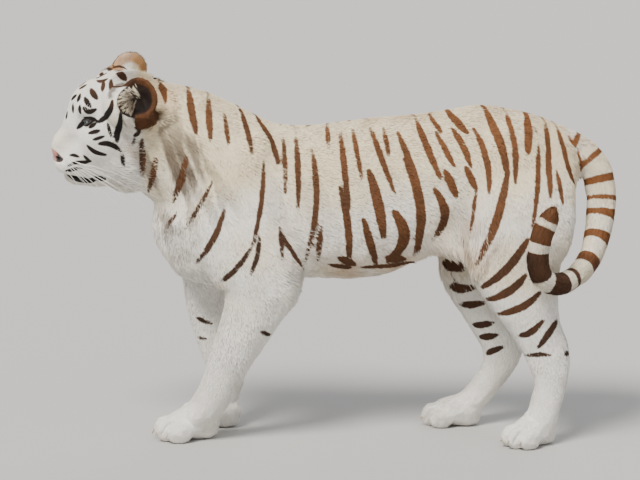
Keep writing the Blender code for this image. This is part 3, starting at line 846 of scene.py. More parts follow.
# %% Stripes of the haunch and legs
HAUNCH = [
    (20, (42, 93), (48, 76), 1),
    (20, (48, 77), (40, 51), 1),
    (14, (48, 92), (50, 74), 1),
    (20, (54, 91), (53.5, 82), 0),
    (11, (56, 88), (54.5, 62), 1),
    (15, (59, 90), (59.5, 70), 0),
    (13, (62, 88), (67, 70), 0),
    (10, (61.5, 77), (63, 68), 0),
    (10, (68, 86), (68.5, 83), 0),
    (11, (69.5, 82), (69, 77), 0),
    (20, (53.5, 59), (41.5, 45), 1),
    (20, (53, 49), (43, 41.5), 1),
    (18, (57, 44), (46, 37.5), 1),
    (15, (58, 36), (50, 31), 1),
    (15, (63, 37), (57, 28.5), 0),
    (8, (53.5, 25.5), (60.5, 26), 0.5),
    (8, (64, 26.5), (66, 25.5), 0),
]
FORELEG = [
    (10, (-20, 33), (-17.5, 31.5), 0),
    (14, (-10, 41.5), (-9, 43), 0),
]
INNER_FORELEG = [
    (10, (-38.5, 32), (-34, 30.5), 0),
    (8, (-38.5, 26), (-35, 26), 0),
]
INNER_THIGH = [
    (46, (30, 53), (39, 51), 0),
    (26, (31, 47.5), (38, 46.5), 0),
    (22, (33, 40), (41, 41), 0),
    (19, (36, 35), (43.5, 36.5), 0),
    (17, (39.5, 29), (46, 30.5), 0),
    (16, (41.5, 25.5), (47.5, 27), 0),
    (14, (43.5, 21), (49, 23.5), 0),
]

# %% Marks on the head: width in mm, then places as turn and height in degrees
FOREHEAD = [
    (6, (6, 37), (12, 47)),
    (6, (24, 42), (20, 52)),
    (6, (15, 34), (18, 22)),
    (6, (36, 38), (42, 28)),
    (5, (4, 16), (7, 6)),
    (6, (6, 56), (12, 66)),
]
CROWN = [
    (8, (25, 81), (115, 81)),
    (8, (87, 80), (83, 66)),
    (8, (125, 76), (105, 64)),
    (14, (165, 75), (170, 64)),
    (9, (120, 66), (140, 55)),
]
BROW = [
    (11, (40, 66), (68, 58)),
    (9, (36, 52), (57, 43)),
    (9, (46, 38), (56, 34), (69, 41)),
]
CHEEK = [
    (13, (99, 44), (95, 33), (79, 21)),  # from the ear down to the eye
    (13, (105, 29), (106, 10), (106, -8)),
    (10, (121, 24), (121, -8)),
    (7, (72, 17), (60, 7)),  # folds below the eye
    (7, (80, 6), (61, -2)),
    (5, (88, -2), (70, -10)),
    (5, (94, 18), (98, -2)),
    (10, (80, -14), (95, -12), (110, -20)),
    (9, (61, -21), (73, -27), (90, -28)),
    (7, (53, -38), (63, -43)),
    (8, (111, -22), (112, -35)),
    (13, (128, -2), (129, -36)),  # the ruff
]
WHISKER_PAD = [
    (7, (32, -43), (50, -46), (65, -43)),
    (7, (30, -46), (47, -52)),
    (5, (28, -38), (43, -40)),
]
EYE_LINES = [
    (10, (48, 18), (40, 8), (31, -3)),  # at the inner corner
    (7, (47, 23), (63, 25), (76, 20)),  # over the eye
]

# %% Rings round the tail: how far along in cm, how long in mm
RINGS = [
    (7, 15), (13, 17), (19.5, 22), (25, 15), (29.5, 28), (37, 33),
    (46, 38), (54, 16), (60, 55), (69, 78), (77.5, 46), (83, 30),
]

# %% What the stripes are laid on
spots = points_of(skin.data)
corners_of_skin = [p.vertices[:] for p in skin.data.polygons]
tree = BVHTree.FromPolygons(spots.tolist(), corners_of_skin)
along, gap, _ = along_tail(spots)
on_tail = (gap < 0.052) & (along > 0.03)
in_the_way = on_tail | (ear_share(spots) > 0.5)
open_faces = [corners for corners in corners_of_skin if not in_the_way[corners[0]]]
side_tree = BVHTree.FromPolygons(spots.tolist(), open_faces)
print("skin to stripe:", len(corners_of_skin), "faces")


# %% Carrying a line onto her side
def side_line(start, end, bow, steps=13):
    """A bowed line in side view, in cm."""
    start, end = np.array(start, float), np.array(end, float)
    leg = end - start
    across = np.array([-leg[1], leg[0]]) / np.hypot(*leg)
    t = np.linspace(0, 1, steps)[:, None]
    return start + leg * t + across * bow * np.sin(np.pi * t)


def carry(line, side):
    """Carry a line in side view straight in, from outside, onto one side of her body."""
    laid = []
    for x, z in line:
        outside = SPINE + CM * np.array([x, side * 60, z])
        hit = side_tree.ray_cast(Vector(outside), Vector((0, -side, 0)))[0]
        if hit is None:
            hit = side_tree.find_nearest(Vector(SPINE + CM * np.array([x, side * 2, z])))[0]
        laid.append(np.array(hit))
    return np.array(laid)


def over_the_back(line):
    """Let a line that starts close to the spine begin on it."""
    start = (line[0] - SPINE) / CM
    if abs(start[1]) > 6 or start[2] < 80:
        return line
    ridge = np.array([start[0] - 0.12 * abs(start[1]), 0, start[2] + 1.5])
    return np.vstack([SPINE + CM * ridge, line])


# %% Carrying a line onto her head
HEAD_MIDDLE = np.array([-0.64, 0.0, 0.90])


def round_line(line, per_leg=5):
    """A smooth line through the places, with a few steps on each leg."""
    ends = np.vstack([2 * line[0] - line[1], line, 2 * line[-1] - line[-2]])
    found = []
    for a, b, c, d in zip(ends[:-3], ends[1:-2], ends[2:-1], ends[3:]):
        for t in np.linspace(0, 1, per_leg, endpoint=False):
            bend = 2 * b + (c - a) * t + (2 * a - 5 * b + 4 * c - d) * t**2
            found.append(0.5 * (bend + (3 * b - a - 3 * c + d) * t**3))
    return np.array(found + [line[-1]])


def head_line(places, side):
    """Push places given as turn and height out from the middle of the skull to its skin."""
    turn, high = np.radians(round_line(np.array(places, float))).T
    flat = np.cos(high)
    ways = np.stack([-flat * np.cos(turn), side * flat * np.sin(turn), np.sin(high)], axis=1)
    middle = from_head([HEAD_MIDDLE])[0]
    laid = []
    for way in from_head(HEAD_MIDDLE + ways) - middle:
        hit = tree.ray_cast(Vector(middle), Vector(way))[0]
        if hit is None:
            hit = tree.find_nearest(Vector(middle + 0.1 * way))[0]
        laid.append(np.array(hit))
    return np.array(laid)


# %% Laying a stroke on the skin
OUTSIDE = -0.03  # depth of a point that is far from every stripe, in metres


def lay_stroke(depth, line, width):
    """Raise each point's depth inside a stripe by one stroke, width mm wide."""
    laid = np.array([tree.find_nearest(spot)[0] for spot in line])
    for _ in range(3):
        laid[1:-1] = (laid[:-2] + 2 * laid[1:-1] + laid[2:]) / 4
    near = np.all((spots > laid.min(0) + OUTSIDE) & (spots < laid.max(0) - OUTSIDE), axis=1)
    held = np.nonzero(near)[0]
    best = np.full(len(held), OUTSIDE)
    count = len(laid) - 1
    for i in range(count):
        step = laid[i + 1] - laid[i]
        away = spots[held] - laid[i]
        share = np.clip(away @ step / max(step @ step, 1e-9), 0.0, 1.0)
        gap = np.linalg.norm(away - share[:, None] * step, axis=1)
        onward = np.clip((i + share) / count, 0.02, 0.98)
        half = 0.5 * MM * (width + 4) * (0.45 + 0.60 * np.sin(np.pi * onward) ** 0.6)
        best = np.maximum(best, half - gap)
    depth[held] = np.maximum(depth[held], best)


# %% Lay the stripes of her sides
STANCE = 11.5  # how far her right hind foot stands ahead of the left one, in cm
FORE_STANCE = 16  # the same shift for the marks of her forelegs
stripe = np.full(len(spots), OUTSIDE)
for group in (NECK, SHOULDER, FLANK, HAUNCH, FORELEG):
    for number, (width, start, end, bow) in enumerate(group):
        line = side_line(start, end, bow)
        lay_stroke(stripe, over_the_back(carry(line, -1)), max(width, 10))
        line[:, 0] += 0.7 * math.sin(2.4 * number) + 0.5 * np.sin(line[:, 1] / 5 + number)
        if group is HAUNCH:
            line[:, 0] -= STANCE * (1 - ease(line[:, 1], 39, 85))
        if group is FORELEG:
            line[:, 0] -= FORE_STANCE
        changed = width * (1 + 0.15 * math.sin(5 * number))
        lay_stroke(stripe, over_the_back(carry(line, 1)), changed)

# %% Lay the stripes inside her legs
INNER_SIDE = 7  # how far the inside of a leg is from her middle, in cm
for group, shift in ((INNER_FORELEG, FORE_STANCE), (INNER_THIGH, STANCE)):
    for width, start, end, bow in group:
        line = side_line(start, end, bow)
        right = np.stack([line[:, 0], np.full(len(line), INNER_SIDE), line[:, 1]], axis=1)
        left = right * np.array([1, -1, 1]) + np.array([shift, 0, 0])
        lay_stroke(stripe, SPINE + CM * right, width)
        lay_stroke(stripe, SPINE + CM * left, width)

# %% Lay the marks of her head and the rings of her tail
for width, *places in FOREHEAD + CROWN + BROW + CHEEK + WHISKER_PAD:
    for side in (1, -1):
        lay_stroke(stripe, head_line(places, side), width * 1.15 + 0.5)
for middle, length in RINGS:
    ring = 0.5 * MM * length - np.abs(along - CM * middle)
    stripe[on_tail] = np.maximum(stripe, np.maximum(ring, OUTSIDE))[on_tail]
print("points inside a stripe: %.1f %%" % (100 * (stripe > 0).mean()))

# %% [markdown]
# Her stripes are rust along the back and haunch, browner on the flank, and nearly black on the face, the
# legs and parts of the tail; their darkening down her body is partly their own colour and partly painted
# shade. Her white is cream over the neck and back and pure on the chest, legs and face. A few places are
# washed with orange.

# %% Soft places on both of her sides
body = spots - SPINE


def soft_places(values, rows):
    """Raise values round places given as a spot in cm, a reach in cm and a strength."""
    for (x, y, z), reach, strength in rows:
        for side in (-1, 1):
            gap = np.linalg.norm(body - CM * np.array([x, side * y, z]), axis=1) / (CM * reach)
            values = np.maximum(values, strength * np.exp(-gap * gap))
    return values


WASHES = [
    ((40, 15, 56), 6, 0.35), ((38, 12, 62), 4, 0.3),  # fold of the flank
    ((3, 9, 50), 6, 0.5), ((16, 9, 51), 8, 0.5), ((28, 9, 54), 6, 0.35),  # belly
    ((10, 0, 90), 3.5, 0.45), ((19, 0, 90), 4, 0.45), ((25, 0, 91), 4, 0.4),  # back
    ((46, 0, 94), 6, 0.35), ((55, 0, 92), 6, 0.35), ((68, 0, 84), 6, 0.3),  # rump
    ((-46, 5, 97), 4, 0.35), ((-40, 0, 100), 6, 0.2),  # crest of the neck
    ((-56.5, 14, 81), 3.2, 0.75), ((-56.5, 14, 77), 3, 0.6),  # ruff
]
# Painted shade in the partings where the coat falls into clumps: most on the neck, less at the fold of the
# flank and the elbow.
PARTING_SHADE = [
    ((-45, 12, 79), 14, 1.1), ((-49, 9, 67), 10, 1.0), ((-39, 13, 86), 9, 0.9),  # neck
    ((-34, 15, 70), 10, 0.5), ((-58, 11, 77), 6, 0.5), ((-12, 15, 72), 12, 0.25),
    ((38, 14, 58), 8, 0.5), ((-10, 15, 50), 7, 0.4),  # fold of the flank, elbow
]
warm = soft_places(np.zeros(len(spots)), WASHES)
parting_shade = soft_places(np.full(len(spots), 0.06), PARTING_SHADE)
print("washed with orange: %.1f %% of the points" % (100 * (warm > 0.2).mean()))

# %% Dark and cream
DARKS = [  # along the height of the body, how dark the stripes are: partly their own colour, partly painted shade that deepens low down
    (0, 0.85), (30, 0.78), (42, 0.60), (55, 0.55), (70, 0.46), (80, 0.34), (95, 0.18),
]
TAIL_DARKS = [  # metres along the tail, how dark its rings are
    (0.0, 0.1), (0.30, 0.15), (0.42, 0.3), (0.50, 0.45),
    (0.57, 0.72), (0.72, 0.70), (0.76, 0.5), (0.85, 0.4),
]
heights, levels = zip(*DARKS)
dark = np.interp(body[:, 2], CM * np.array(heights), levels)
dark = dark + 0.22 * (1 - ease(body[:, 0], -0.30, 0.05))
local = to_head(spots)
on_head = (1.0 - ease(local[:, 0], -0.57, -0.53)) * ease(local[:, 2], 0.66, 0.72)
dark = dark * (1 - on_head) + (1.28 - 0.55 * ease(local[:, 2], 0.97, 1.01)) * on_head
dark[on_tail] = np.interp(along, *zip(*TAIL_DARKS))[on_tail]
under = 0.25 * (1 - ease(body[:, 2], 0.47, 0.56)) * ease(body[:, 0], -0.12, 0.0)
cream = 0.34 + 0.62 * ease(body[:, 2], 0.60, 0.86) + under
cream = cream * ease(body[:, 2], 0.30, 0.60)
cream = cream * (1 - on_head) + 0.22 * on_head
cream[on_tail] = 0.55
print("darkness of stripes: %.2f to %.2f" % (dark.min(), dark.max()))

# %% Lips with painted shade of the mouth, and eye rims
lips = np.full(len(spots), OUTSIDE)
LIPS_AND_MOUTH_SHADE = [
    # the first, widest stroke is the black lip and painted shade of the open mouth round it
    (25, (-77.0, 0.2, 75.4), (-76.2, 2.2, 75.0), (-74.4, 4.0, 74.2), (-71.0, 5.4, 74.0), (-67.5, 6.5, 74.3)),
    (16, (-67.5, 6.5, 74.5), (-65.4, 7.6, 75.0), (-64.1, 9.2, 76.4)),
    (3.5, (-78.2, 0.0, 79.2), (-78.0, 0.0, 77.6), (-77.2, 0.0, 76.5)),
]
for width, *line in LIPS_AND_MOUTH_SHADE:
    for side in (1, -1):
        drawn = CM * round_line(np.array(line, float)) * np.array([1, side, 1])
        lay_stroke(lips, from_head(drawn), width)
mouth_line = lips.copy()
for width, *places in EYE_LINES:
    for side in (1, -1):
        lay_stroke(lips, head_line(places, side), width)
for side in (-1, 1):
    middle, out, across, up = eye_axes(side)
    away = local - middle
    near = (np.linalg.norm(away, axis=1) < 0.045) & (away @ out > 0)
    lips[near] = np.maximum(lips, opening(away @ across, away @ up) + 0.0062)[near]
lips = lips * on_head + OUTSIDE * (1 - on_head)
stripe = np.maximum(stripe, lips)
dark = np.maximum(dark, ease(lips, -0.002, 0.0005) * 1.5)
print("points on the lips and eye rims:", int((lips > 0).sum()))

# %% [markdown]
# The back of her ear is washed brown with a dark rim. Its cup is painted dark in the middle and at the back,
# as painted shade in the hollow, and pale hair grows over the cup's edge, some of it painted darker with the
# same shade.

# %% Ears
normals = normals_of(skin.data)
for side, root in EAR_ROOTS.items():
    mouth = unit(np.array(EAR_NOW[side]))
    away = spots - from_head([root])[0]
    facing = normals @ mouth
    reach = np.linalg.norm(away - np.outer(away @ mouth, mouth), axis=1)
    on_ear = np.linalg.norm(away, axis=1) < 0.082
    back = on_ear & (facing < 0.1) & (away[:, 2] > 0.0)
    inner = on_ear & (facing >= 0.1)
    warm[back] = np.maximum(warm, 0.95 * ease(reach, 0.030, 0.040))[back]
    rim = on_ear & (reach > 0.050) & (away[:, 2] > -0.01)
    warm[rim] = np.maximum(warm, 0.7 * ease(away[:, 0], -0.03, 0.01))[rim]
    top = rim & (away[:, 2] > 0.02) & (away[:, 0] > -0.035) & (facing > -0.3)
    stripe[top] = np.maximum(stripe, 0.003)[top]
    dark[top] = 0.7
    # painted shade inside the cup: darker partings, and dark skin that is darkest in the middle and at the
    # back
    parting_shade[inner] = np.maximum(parting_shade, 0.9)[inner]
    cup_shade = np.clip(0.053 + 0.18 * np.minimum(away[:, 0], 0.0) - reach, -0.03, 0.02)
    cup_shade[away[:, 0] > 0.0] = 0.02
    stripe[inner] = np.maximum(stripe, cup_shade)[inner]
    dark[inner] = np.maximum(dark, 1.15 - 0.6 * ease(reach, 0.036, 0.054))[inner]
    rear = on_ear & (reach > 0.044) & (away[:, 0] > 0.0) & (facing > -0.4)
    stripe[rear] = np.maximum(stripe, 0.006)[rear]
    dark[rear] = 0.48

# %% Store the marks
MARKS = {
    "stripe": stripe * 1000,  # in mm, above 0 inside a stripe
    "dark": np.clip(dark, 0, 1.5),
    "cream": np.clip(cream, 0, 1),
    "warm": warm,
    "crisp": on_head,
    "parting_shade": np.clip(parting_shade, 0, 1),
}
for name, values in MARKS.items():
    write_values(skin.data, name, values)
print({name: [round(float(v.min()), 2), round(float(v.max()), 2)] for name, v in MARKS.items()})

# %% [markdown]
# The marks were laid on the dense net, where even a thin stripe covers several points.
# Tufts will read them from that net. The skin that is kept needs fewer triangles, and
# a decimation lightens it most where it is flat.

# %% Keep the dense net for reading
def triangles_of(mesh):
    """Each triangle's three points."""
    mesh.calc_loop_triangles()
    found = np.empty(len(mesh.loop_triangles) * 3, np.int32)
    mesh.loop_triangles.foreach_get("vertices", found)
    return found.reshape(-1, 3)


dense_points = spots
dense_faces = triangles_of(skin.data)
dense_tree = BVHTree.FromPolygons(dense_points.tolist(), dense_faces.tolist())
print("dense net:", len(dense_faces), "triangles")

# %% Decimate
SKIN_TRIANGLES = 400000
lighten = skin.modifiers.new("lighten", "DECIMATE")
lighten.ratio = SKIN_TRIANGLES / (2 * len(skin.data.polygons))
lighten.use_collapse_triangulate = True
apply_modifiers(skin)
skin.data.shade_smooth()
print("skin:", len(skin.data.polygons), "triangles")

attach(skin, "root")
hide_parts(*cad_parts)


# %% [markdown]
# ## The colour of the coat
#
# One recipe colours both the skin and every tuft, so that markings run through from one
# to the other. It reads the values stored on the points. Noise frays the edges of the
# stripes, and slow noise lets the cream drift. The skin has fine bump that runs the
# way the hair lies, and its roughness changes with the same noise.


# %% Node helpers
class Recipe:
    """Short words for joining nodes of one material."""

    def __init__(self, material):
        self.tree = material.node_tree
        self.shader = self.tree.nodes["Principled BSDF"]

    def add(self, kind, **settings):
        """A node with its settings and the links or values of its inputs."""
        node = self.tree.nodes.new(kind)
        for name, value in settings.items():
            if name in node.inputs:
                self.feed(node.inputs[name], value)
            else:
                setattr(node, name, value)
        return node

    def feed(self, socket, value):
        """Link an output to a socket, or set its value."""
        if isinstance(value, bpy.types.NodeSocket):
            self.tree.links.new(value, socket)
        else:
            socket.default_value = value

    def surface(self, name, value):
        """Link an output to a socket of the Principled shader, or set its value."""
        self.feed(self.shader.inputs[name], value)

    def bump(self, strength, distance, height):
        """Fine relief for the Principled shader."""
        made = self.add("ShaderNodeBump", Strength=strength, Distance=distance, Height=height)
        self.surface("Normal", made.outputs[0])

    def value(self, name):
        """A value that is stored on the points."""
        return self.add("ShaderNodeAttribute", attribute_name=name).outputs["Fac"]

    def sum(self, kind, a, b, clamp=False):
        """One step of arithmetic."""
        node = self.add("ShaderNodeMath", operation=kind, use_clamp=clamp)
        self.feed(node.inputs[0], a)
        self.feed(node.inputs[1], b)
        return node.outputs[0]

    def ramp(self, value, low, high, a=0.0, b=1.0):
        """A smooth change from a to b while the value goes from low to high."""
        node = self.add("ShaderNodeMapRange", interpolation_type="SMOOTHSTEP")
        for socket, number in zip(node.inputs[:5], (value, low, high, a, b)):
            self.feed(socket, number)
        return node.outputs[0]

    def blend(self, share, a, b):
        """A mix of two colours."""
        node = self.add("ShaderNodeMix", data_type="RGBA")
        self.feed(node.inputs[0], share)
        for socket, colour in zip(node.inputs[6:8], (a, b)):
            self.feed(socket, (*colour, 1.0) if isinstance(colour, tuple) else colour)
        return node.outputs[2]

    def noise(self, scale, detail=3.0, stretch=(1, 1, 1), lean=0.0):
        """Noise in the object's own space, stretched and leaned about Y."""
        where = self.add("ShaderNodeTexCoord").outputs["Object"]
        turned = self.add("ShaderNodeMapping", vector_type="TEXTURE")
        self.feed(turned.inputs["Vector"], where)
        turned.inputs["Rotation"].default_value = (0.0, lean, 0.0)
        turned.inputs["Scale"].default_value = stretch
        node = self.add("ShaderNodeTexNoise", Scale=scale, Detail=detail)
        self.feed(node.inputs["Vector"], turned.outputs[0])
        return node.outputs["Fac"]


# %% The coat's colour
CREAM = (0.85, 0.72, 0.49)
WHITE = (0.90, 0.865, 0.80)
RUST = (0.215, 0.082, 0.027)
BROWN = (0.042, 0.020, 0.011)
BLACK = (0.010, 0.008, 0.007)
ORANGE = (0.43, 0.22, 0.085)


def coat_colour(recipe, fray):
    """White to cream, with painted shade in the partings of the coat, a warm wash and stripes that fray by
    so many mm.
    """
    drift = recipe.noise(7.0, 2.0)
    fine = recipe.noise(330.0, 2.0, (3.5, 1, 1), 0.6)
    cream = recipe.sum("ADD", recipe.value("cream"), recipe.ramp(drift, 0.3, 0.7, -0.22, 0.22))
    colour = recipe.blend(recipe.ramp(cream, 0.0, 1.0), WHITE, CREAM)
    parting = recipe.noise(17.0, 3.0, (6.0, 1.0, 1.0), 1.2)
    shade_in_partings = recipe.sum("MULTIPLY", recipe.value("parting_shade"), recipe.ramp(parting, 0.45, 0.57))
    # painted shade: dark brown in the partings between clumps of hair
    colour = recipe.blend(recipe.sum("MULTIPLY", shade_in_partings, 0.9), colour, (0.11, 0.076, 0.052))
    wash = recipe.sum("MULTIPLY", recipe.value("warm"), recipe.ramp(drift, 0.25, 0.75, 0.7, 1.3))
    colour = recipe.blend(recipe.sum("MULTIPLY", wash, 1.0, True), colour, ORANGE)
    broad = recipe.ramp(recipe.noise(45.0, 2.0), 0.25, 0.75, -1.0, 1.0)
    wander = recipe.sum("ADD", recipe.ramp(fine, 0.2, 0.8, -fray, fray), broad)
    calm = recipe.ramp(recipe.value("crisp"), 0.0, 1.0, 1.0, 0.25)
    edge = recipe.sum("ADD", recipe.value("stripe"), recipe.sum("MULTIPLY", wander, calm))
    inside = recipe.ramp(edge, -1.6, 1.8)
    depth = recipe.sum("ADD", recipe.value("dark"), recipe.ramp(drift, 0.3, 0.7, -0.1, 0.1))
    stripe_colour = recipe.blend(recipe.ramp(depth, 0.0, 0.9), RUST, BROWN)
    stripe_colour = recipe.blend(recipe.ramp(depth, 0.95, 1.3), stripe_colour, BLACK)
    return recipe.blend(inside, colour, stripe_colour), fine


# %% Material of the skin
COAT_SPECULAR = 0.25
skin_material = plain_material("fur_skin", WHITE, 0.85)
recipe = Recipe(skin_material)
colour, fine = coat_colour(recipe, 2.0)
tone = recipe.ramp(fine, 0.2, 0.8, 0.84, 1.02)
shaded = recipe.add("ShaderNodeHueSaturation", Color=colour, Value=tone)
recipe.surface("Base Color", shaded.outputs[0])
recipe.surface("Roughness", recipe.ramp(fine, 0.2, 0.8, 0.95, 0.75))
recipe.bump(0.5, 0.002, fine)
recipe.surface("Specular IOR Level", COAT_SPECULAR)
skin.data.materials.append(skin_material)

# %% Material of the tufts
tuft_material = plain_material("fur_tufts", WHITE, 0.8)
recipe = Recipe(tuft_material)
colour, fine = coat_colour(recipe, 1.0)
lane = recipe.add("ShaderNodeTexNoise", noise_dimensions="1D", Scale=2.6, Detail=3.0)
recipe.feed(lane.inputs["W"], recipe.value("lane"))
strand = lane.outputs["Fac"]
# painted shade: each tuft is darker towards its root, where the coat over it keeps the light off
root_shade = recipe.ramp(recipe.value("tip"), 0.0, 1.0, 0.80, 1.0)
streak = recipe.ramp(strand, 0.3, 0.7, 0.90, 1.04)
own = recipe.ramp(recipe.value("shade"), 0.0, 1.0, 0.90, 1.06)
tone = recipe.sum("MULTIPLY", own, recipe.sum("MULTIPLY", root_shade, streak))
shaded = recipe.add("ShaderNodeHueSaturation", Color=colour, Value=tone)
recipe.surface("Base Color", shaded.outputs[0])
recipe.surface("Roughness", recipe.ramp(strand, 0.3, 0.7, 0.9, 0.68))
recipe.bump(0.35, 0.001, strand)
recipe.surface("Specular IOR Level", COAT_SPECULAR)
print("materials:", skin_material.name, tuft_material.name)

# %% [markdown]
# ## The unwrap under the coat
#
# Each tuft has its own small patch of a map, for its colour, placed where the tuft's root sits on an unwrap
# of the skin. A coarse copy of the skin unwraps fast and well.

# %% Unwrap a coarse copy
COARSE_VOXEL = 0.012
coarse = voxel_piece("coarse", skin.data.copy(), COARSE_VOXEL)
bpy.ops.object.select_all(action="DESELECT")
coarse.select_set(True)
bpy.context.view_layer.objects.active = coarse
bpy.ops.object.mode_set(mode="EDIT")
bpy.ops.mesh.select_all(action="SELECT")
bpy.ops.mesh.quads_convert_to_tris()
bpy.ops.uv.smart_project(angle_limit=math.radians(60), island_margin=0.004)
bpy.ops.object.mode_set(mode="OBJECT")
coarse_points = points_of(coarse.data)
coarse_faces = corners_of(coarse.data)
coarse_uv = np.empty(len(coarse_faces) * 6, np.float32)
coarse.data.uv_layers.active.data.foreach_get("uv", coarse_uv)
coarse_uv = coarse_uv.reshape(-1, 3, 2)
bpy.data.objects.remove(coarse)
coarse_tree = BVHTree.FromPolygons(coarse_points.tolist(), coarse_faces.tolist())
print("unwrapped", len(coarse_faces), "faces")


# %% Reading values beneath a point
def beneath(points, finder, corners, net):
    """For each point, the nearest face and the shares of its three corners."""
    hits = [finder.find_nearest(point)[:3:2] for point in points]
    face = np.array([hit[1] for hit in hits])
    spot = np.array([hit[0] for hit in hits])
    a, b, c = corners[net[face, 0]], corners[net[face, 1]], corners[net[face, 2]]
    ab, ac, ap = b - a, c - a, spot - a
    d11, d12, d22 = (ab * ab).sum(1), (ab * ac).sum(1), (ac * ac).sum(1)
    e1, e2 = (ap * ab).sum(1), (ap * ac).sum(1)
    size = np.maximum(d11 * d22 - d12 * d12, 1e-18)
    v = np.clip((d22 * e1 - d12 * e2) / size, 0, 1)
    w = np.clip((d11 * e2 - d12 * e1) / size, 0, 1)
    return face, np.stack([1 - v - w, v, w], axis=1)


def unwrap_at(points):
    """The place of each point on the unwrap, from the nearest face of the coarse copy."""
    face, shares = beneath(points, coarse_tree, coarse_points, coarse_faces)
    return (coarse_uv[face] * shares[:, :, None]).sum(axis=1)


# %% [markdown]
# ## The tufts
#
# A tuft is a lock of many hairs that cling together: a narrow roof, bent once and
# pointed, that leaves the skin, rises a little and then lies along the body. Roots are
# scattered over the skin and thinned until they keep their distance. Body tufts have six
# triangles, and the short ones of the face, ears and paws have two.

# %% Scatter the roots
CHANCE = np.random.default_rng(7)
faces = corners_of(skin.data)
skin_points = points_of(skin.data)
skin_normals = normals_of(skin.data)
a, b, c = (skin_points[faces[:, i]] for i in range(3))
area = 0.5 * np.linalg.norm(np.cross(b - a, c - a), axis=1)
print("skin area: %.2f m2" % area.sum())


def scatter(count, wanted):
    """Roots spread over the faces, denser where wanted is high: face and corner shares."""
    weight = area * wanted
    chosen = CHANCE.choice(len(area), size=count, p=weight / weight.sum())
    u, v = CHANCE.random(count), CHANCE.random(count)
    flip = u + v > 1
    u[flip], v[flip] = 1 - u[flip], 1 - v[flip]
    return chosen, np.stack([1 - u - v, u, v], axis=1)


def at_roots(values, chosen, shares):
    """Values of the skin's points, read at the roots."""
    corners = values[faces[chosen]]
    return (corners * (shares if values.ndim == 1 else shares[:, :, None])).sum(axis=1)


def keep_apart(points, spacing):
    """Drop roots that share a small cube of space with an earlier one."""
    x, y, z = np.floor(points / spacing).astype(np.int64).T
    key = ((x * 73856093) ^ (y * 19349663) ^ (z * 83492791)) * 1000 + round(spacing * 1e5)
    _, first = np.unique(key, return_index=True)
    kept = np.zeros(len(points), bool)
    kept[first] = True
    return kept


def sow(count, spare, wanted, spacing):
    """Scatter spare times too many roots, keep them apart, and keep at most count of them."""
    chosen, shares = scatter(int(count * spare), wanted)
    roots = at_roots(skin_points, chosen, shares)
    kept = keep_apart(roots, spacing)
    kept &= np.cumsum(kept) <= count
    return chosen[kept], shares[kept], roots[kept]


# %% Where each kind grows
face_middle = skin_points[faces].mean(axis=1)
local_middle = to_head(face_middle)
short_share = np.maximum(
    (1.0 - ease(local_middle[:, 0], -0.62, -0.58)) * ease(local_middle[:, 2], 0.66, 0.70),
    1.0 - ease(face_middle[:, 2], 0.11, 0.15),
)
short_share = np.maximum(short_share, ear_share(face_middle))


# %% Build tufts
def tuft_points(root, normal, way, length, lift, width, bend):
    """The seven points of each body tuft: two rows of three, and a tip."""
    way = unit(way - normal * (way * normal).sum(axis=1, keepdims=True))
    aside = np.cross(normal, way)
    way = unit(way + aside * bend[:, None])
    aside = np.cross(normal, way)
    l, h, w = length[:, None], lift[:, None], width[:, None]
    foot = root - normal * 0.0008
    middle = root + way * l * 0.5 + normal * h * 0.75
    tip = root + way * l + normal * h
    ridge = normal * w * 0.22
    rows = [foot - aside * w * 0.42, foot + ridge, foot + aside * w * 0.42]
    rows += [middle - aside * w * 0.5, middle + ridge, middle + aside * w * 0.5, tip]
    return np.stack(rows, axis=1)


BODY_TUFT = {
    "faces": np.array([(0, 1, 4), (0, 4, 3), (1, 2, 5), (1, 5, 4), (3, 4, 6), (4, 5, 6)]),
    "patch": np.array([(-1, -1), (0, -1), (1, -1), (-0.8, 0.2), (0, 0.2), (0.8, 0.2), (0, 1)]),
    "tip": np.array([0, 0, 0, 0.5, 0.5, 0.5, 1.0]),  # 0 at the root, 1 at the tip
    "lane": np.array([-1, 0, 1, -1, 0, 1, 0.0]),  # across the tuft
}
SHORT_TUFT = {
    "faces": np.array([(0, 1, 3), (1, 2, 3)]),
    "patch": np.array([(-1, -1), (0, -1), (1, -1), (0, 1)]),
    "tip": np.array([0, 0, 0, 1.0]),
    "lane": np.array([-1, 0, 1, 0.0]),
}
FLOOR_GAP = 0.0006
PATCH_SIZE = 0.0015  # half a tuft's own patch on the unwrap


def above_floor(points):
    """Raise any lock that would reach through the floor."""
    low = points[:, :, 2].min(axis=1)
    points[:, :, 2] += np.maximum(FLOOR_GAP - low, 0.0)[:, None]
    return points


def marks_along(points, rows):
    """Markings for each point of each tuft, from the skin beneath it and at its root."""
    face, corner = beneath(points[:, 1], dense_tree, dense_points, dense_faces)
    found = {}
    for name, values in MARKS.items():
        read = (values[dense_faces[face]] * corner).sum(axis=1)
        found[name] = np.repeat(read[:, None], points.shape[1], axis=1)
    for column, like in rows:
        face, corner = beneath(points[:, column], dense_tree, dense_points, dense_faces)
        for name, own in (("stripe", 0.12), ("dark", 0.0)):
            below = (MARKS[name][dense_faces[face]] * corner).sum(axis=1)
            for each in like:
                found[name][:, each] = (1 - own) * below + own * np.clip(found[name][:, 1], -6, 6)
    return found


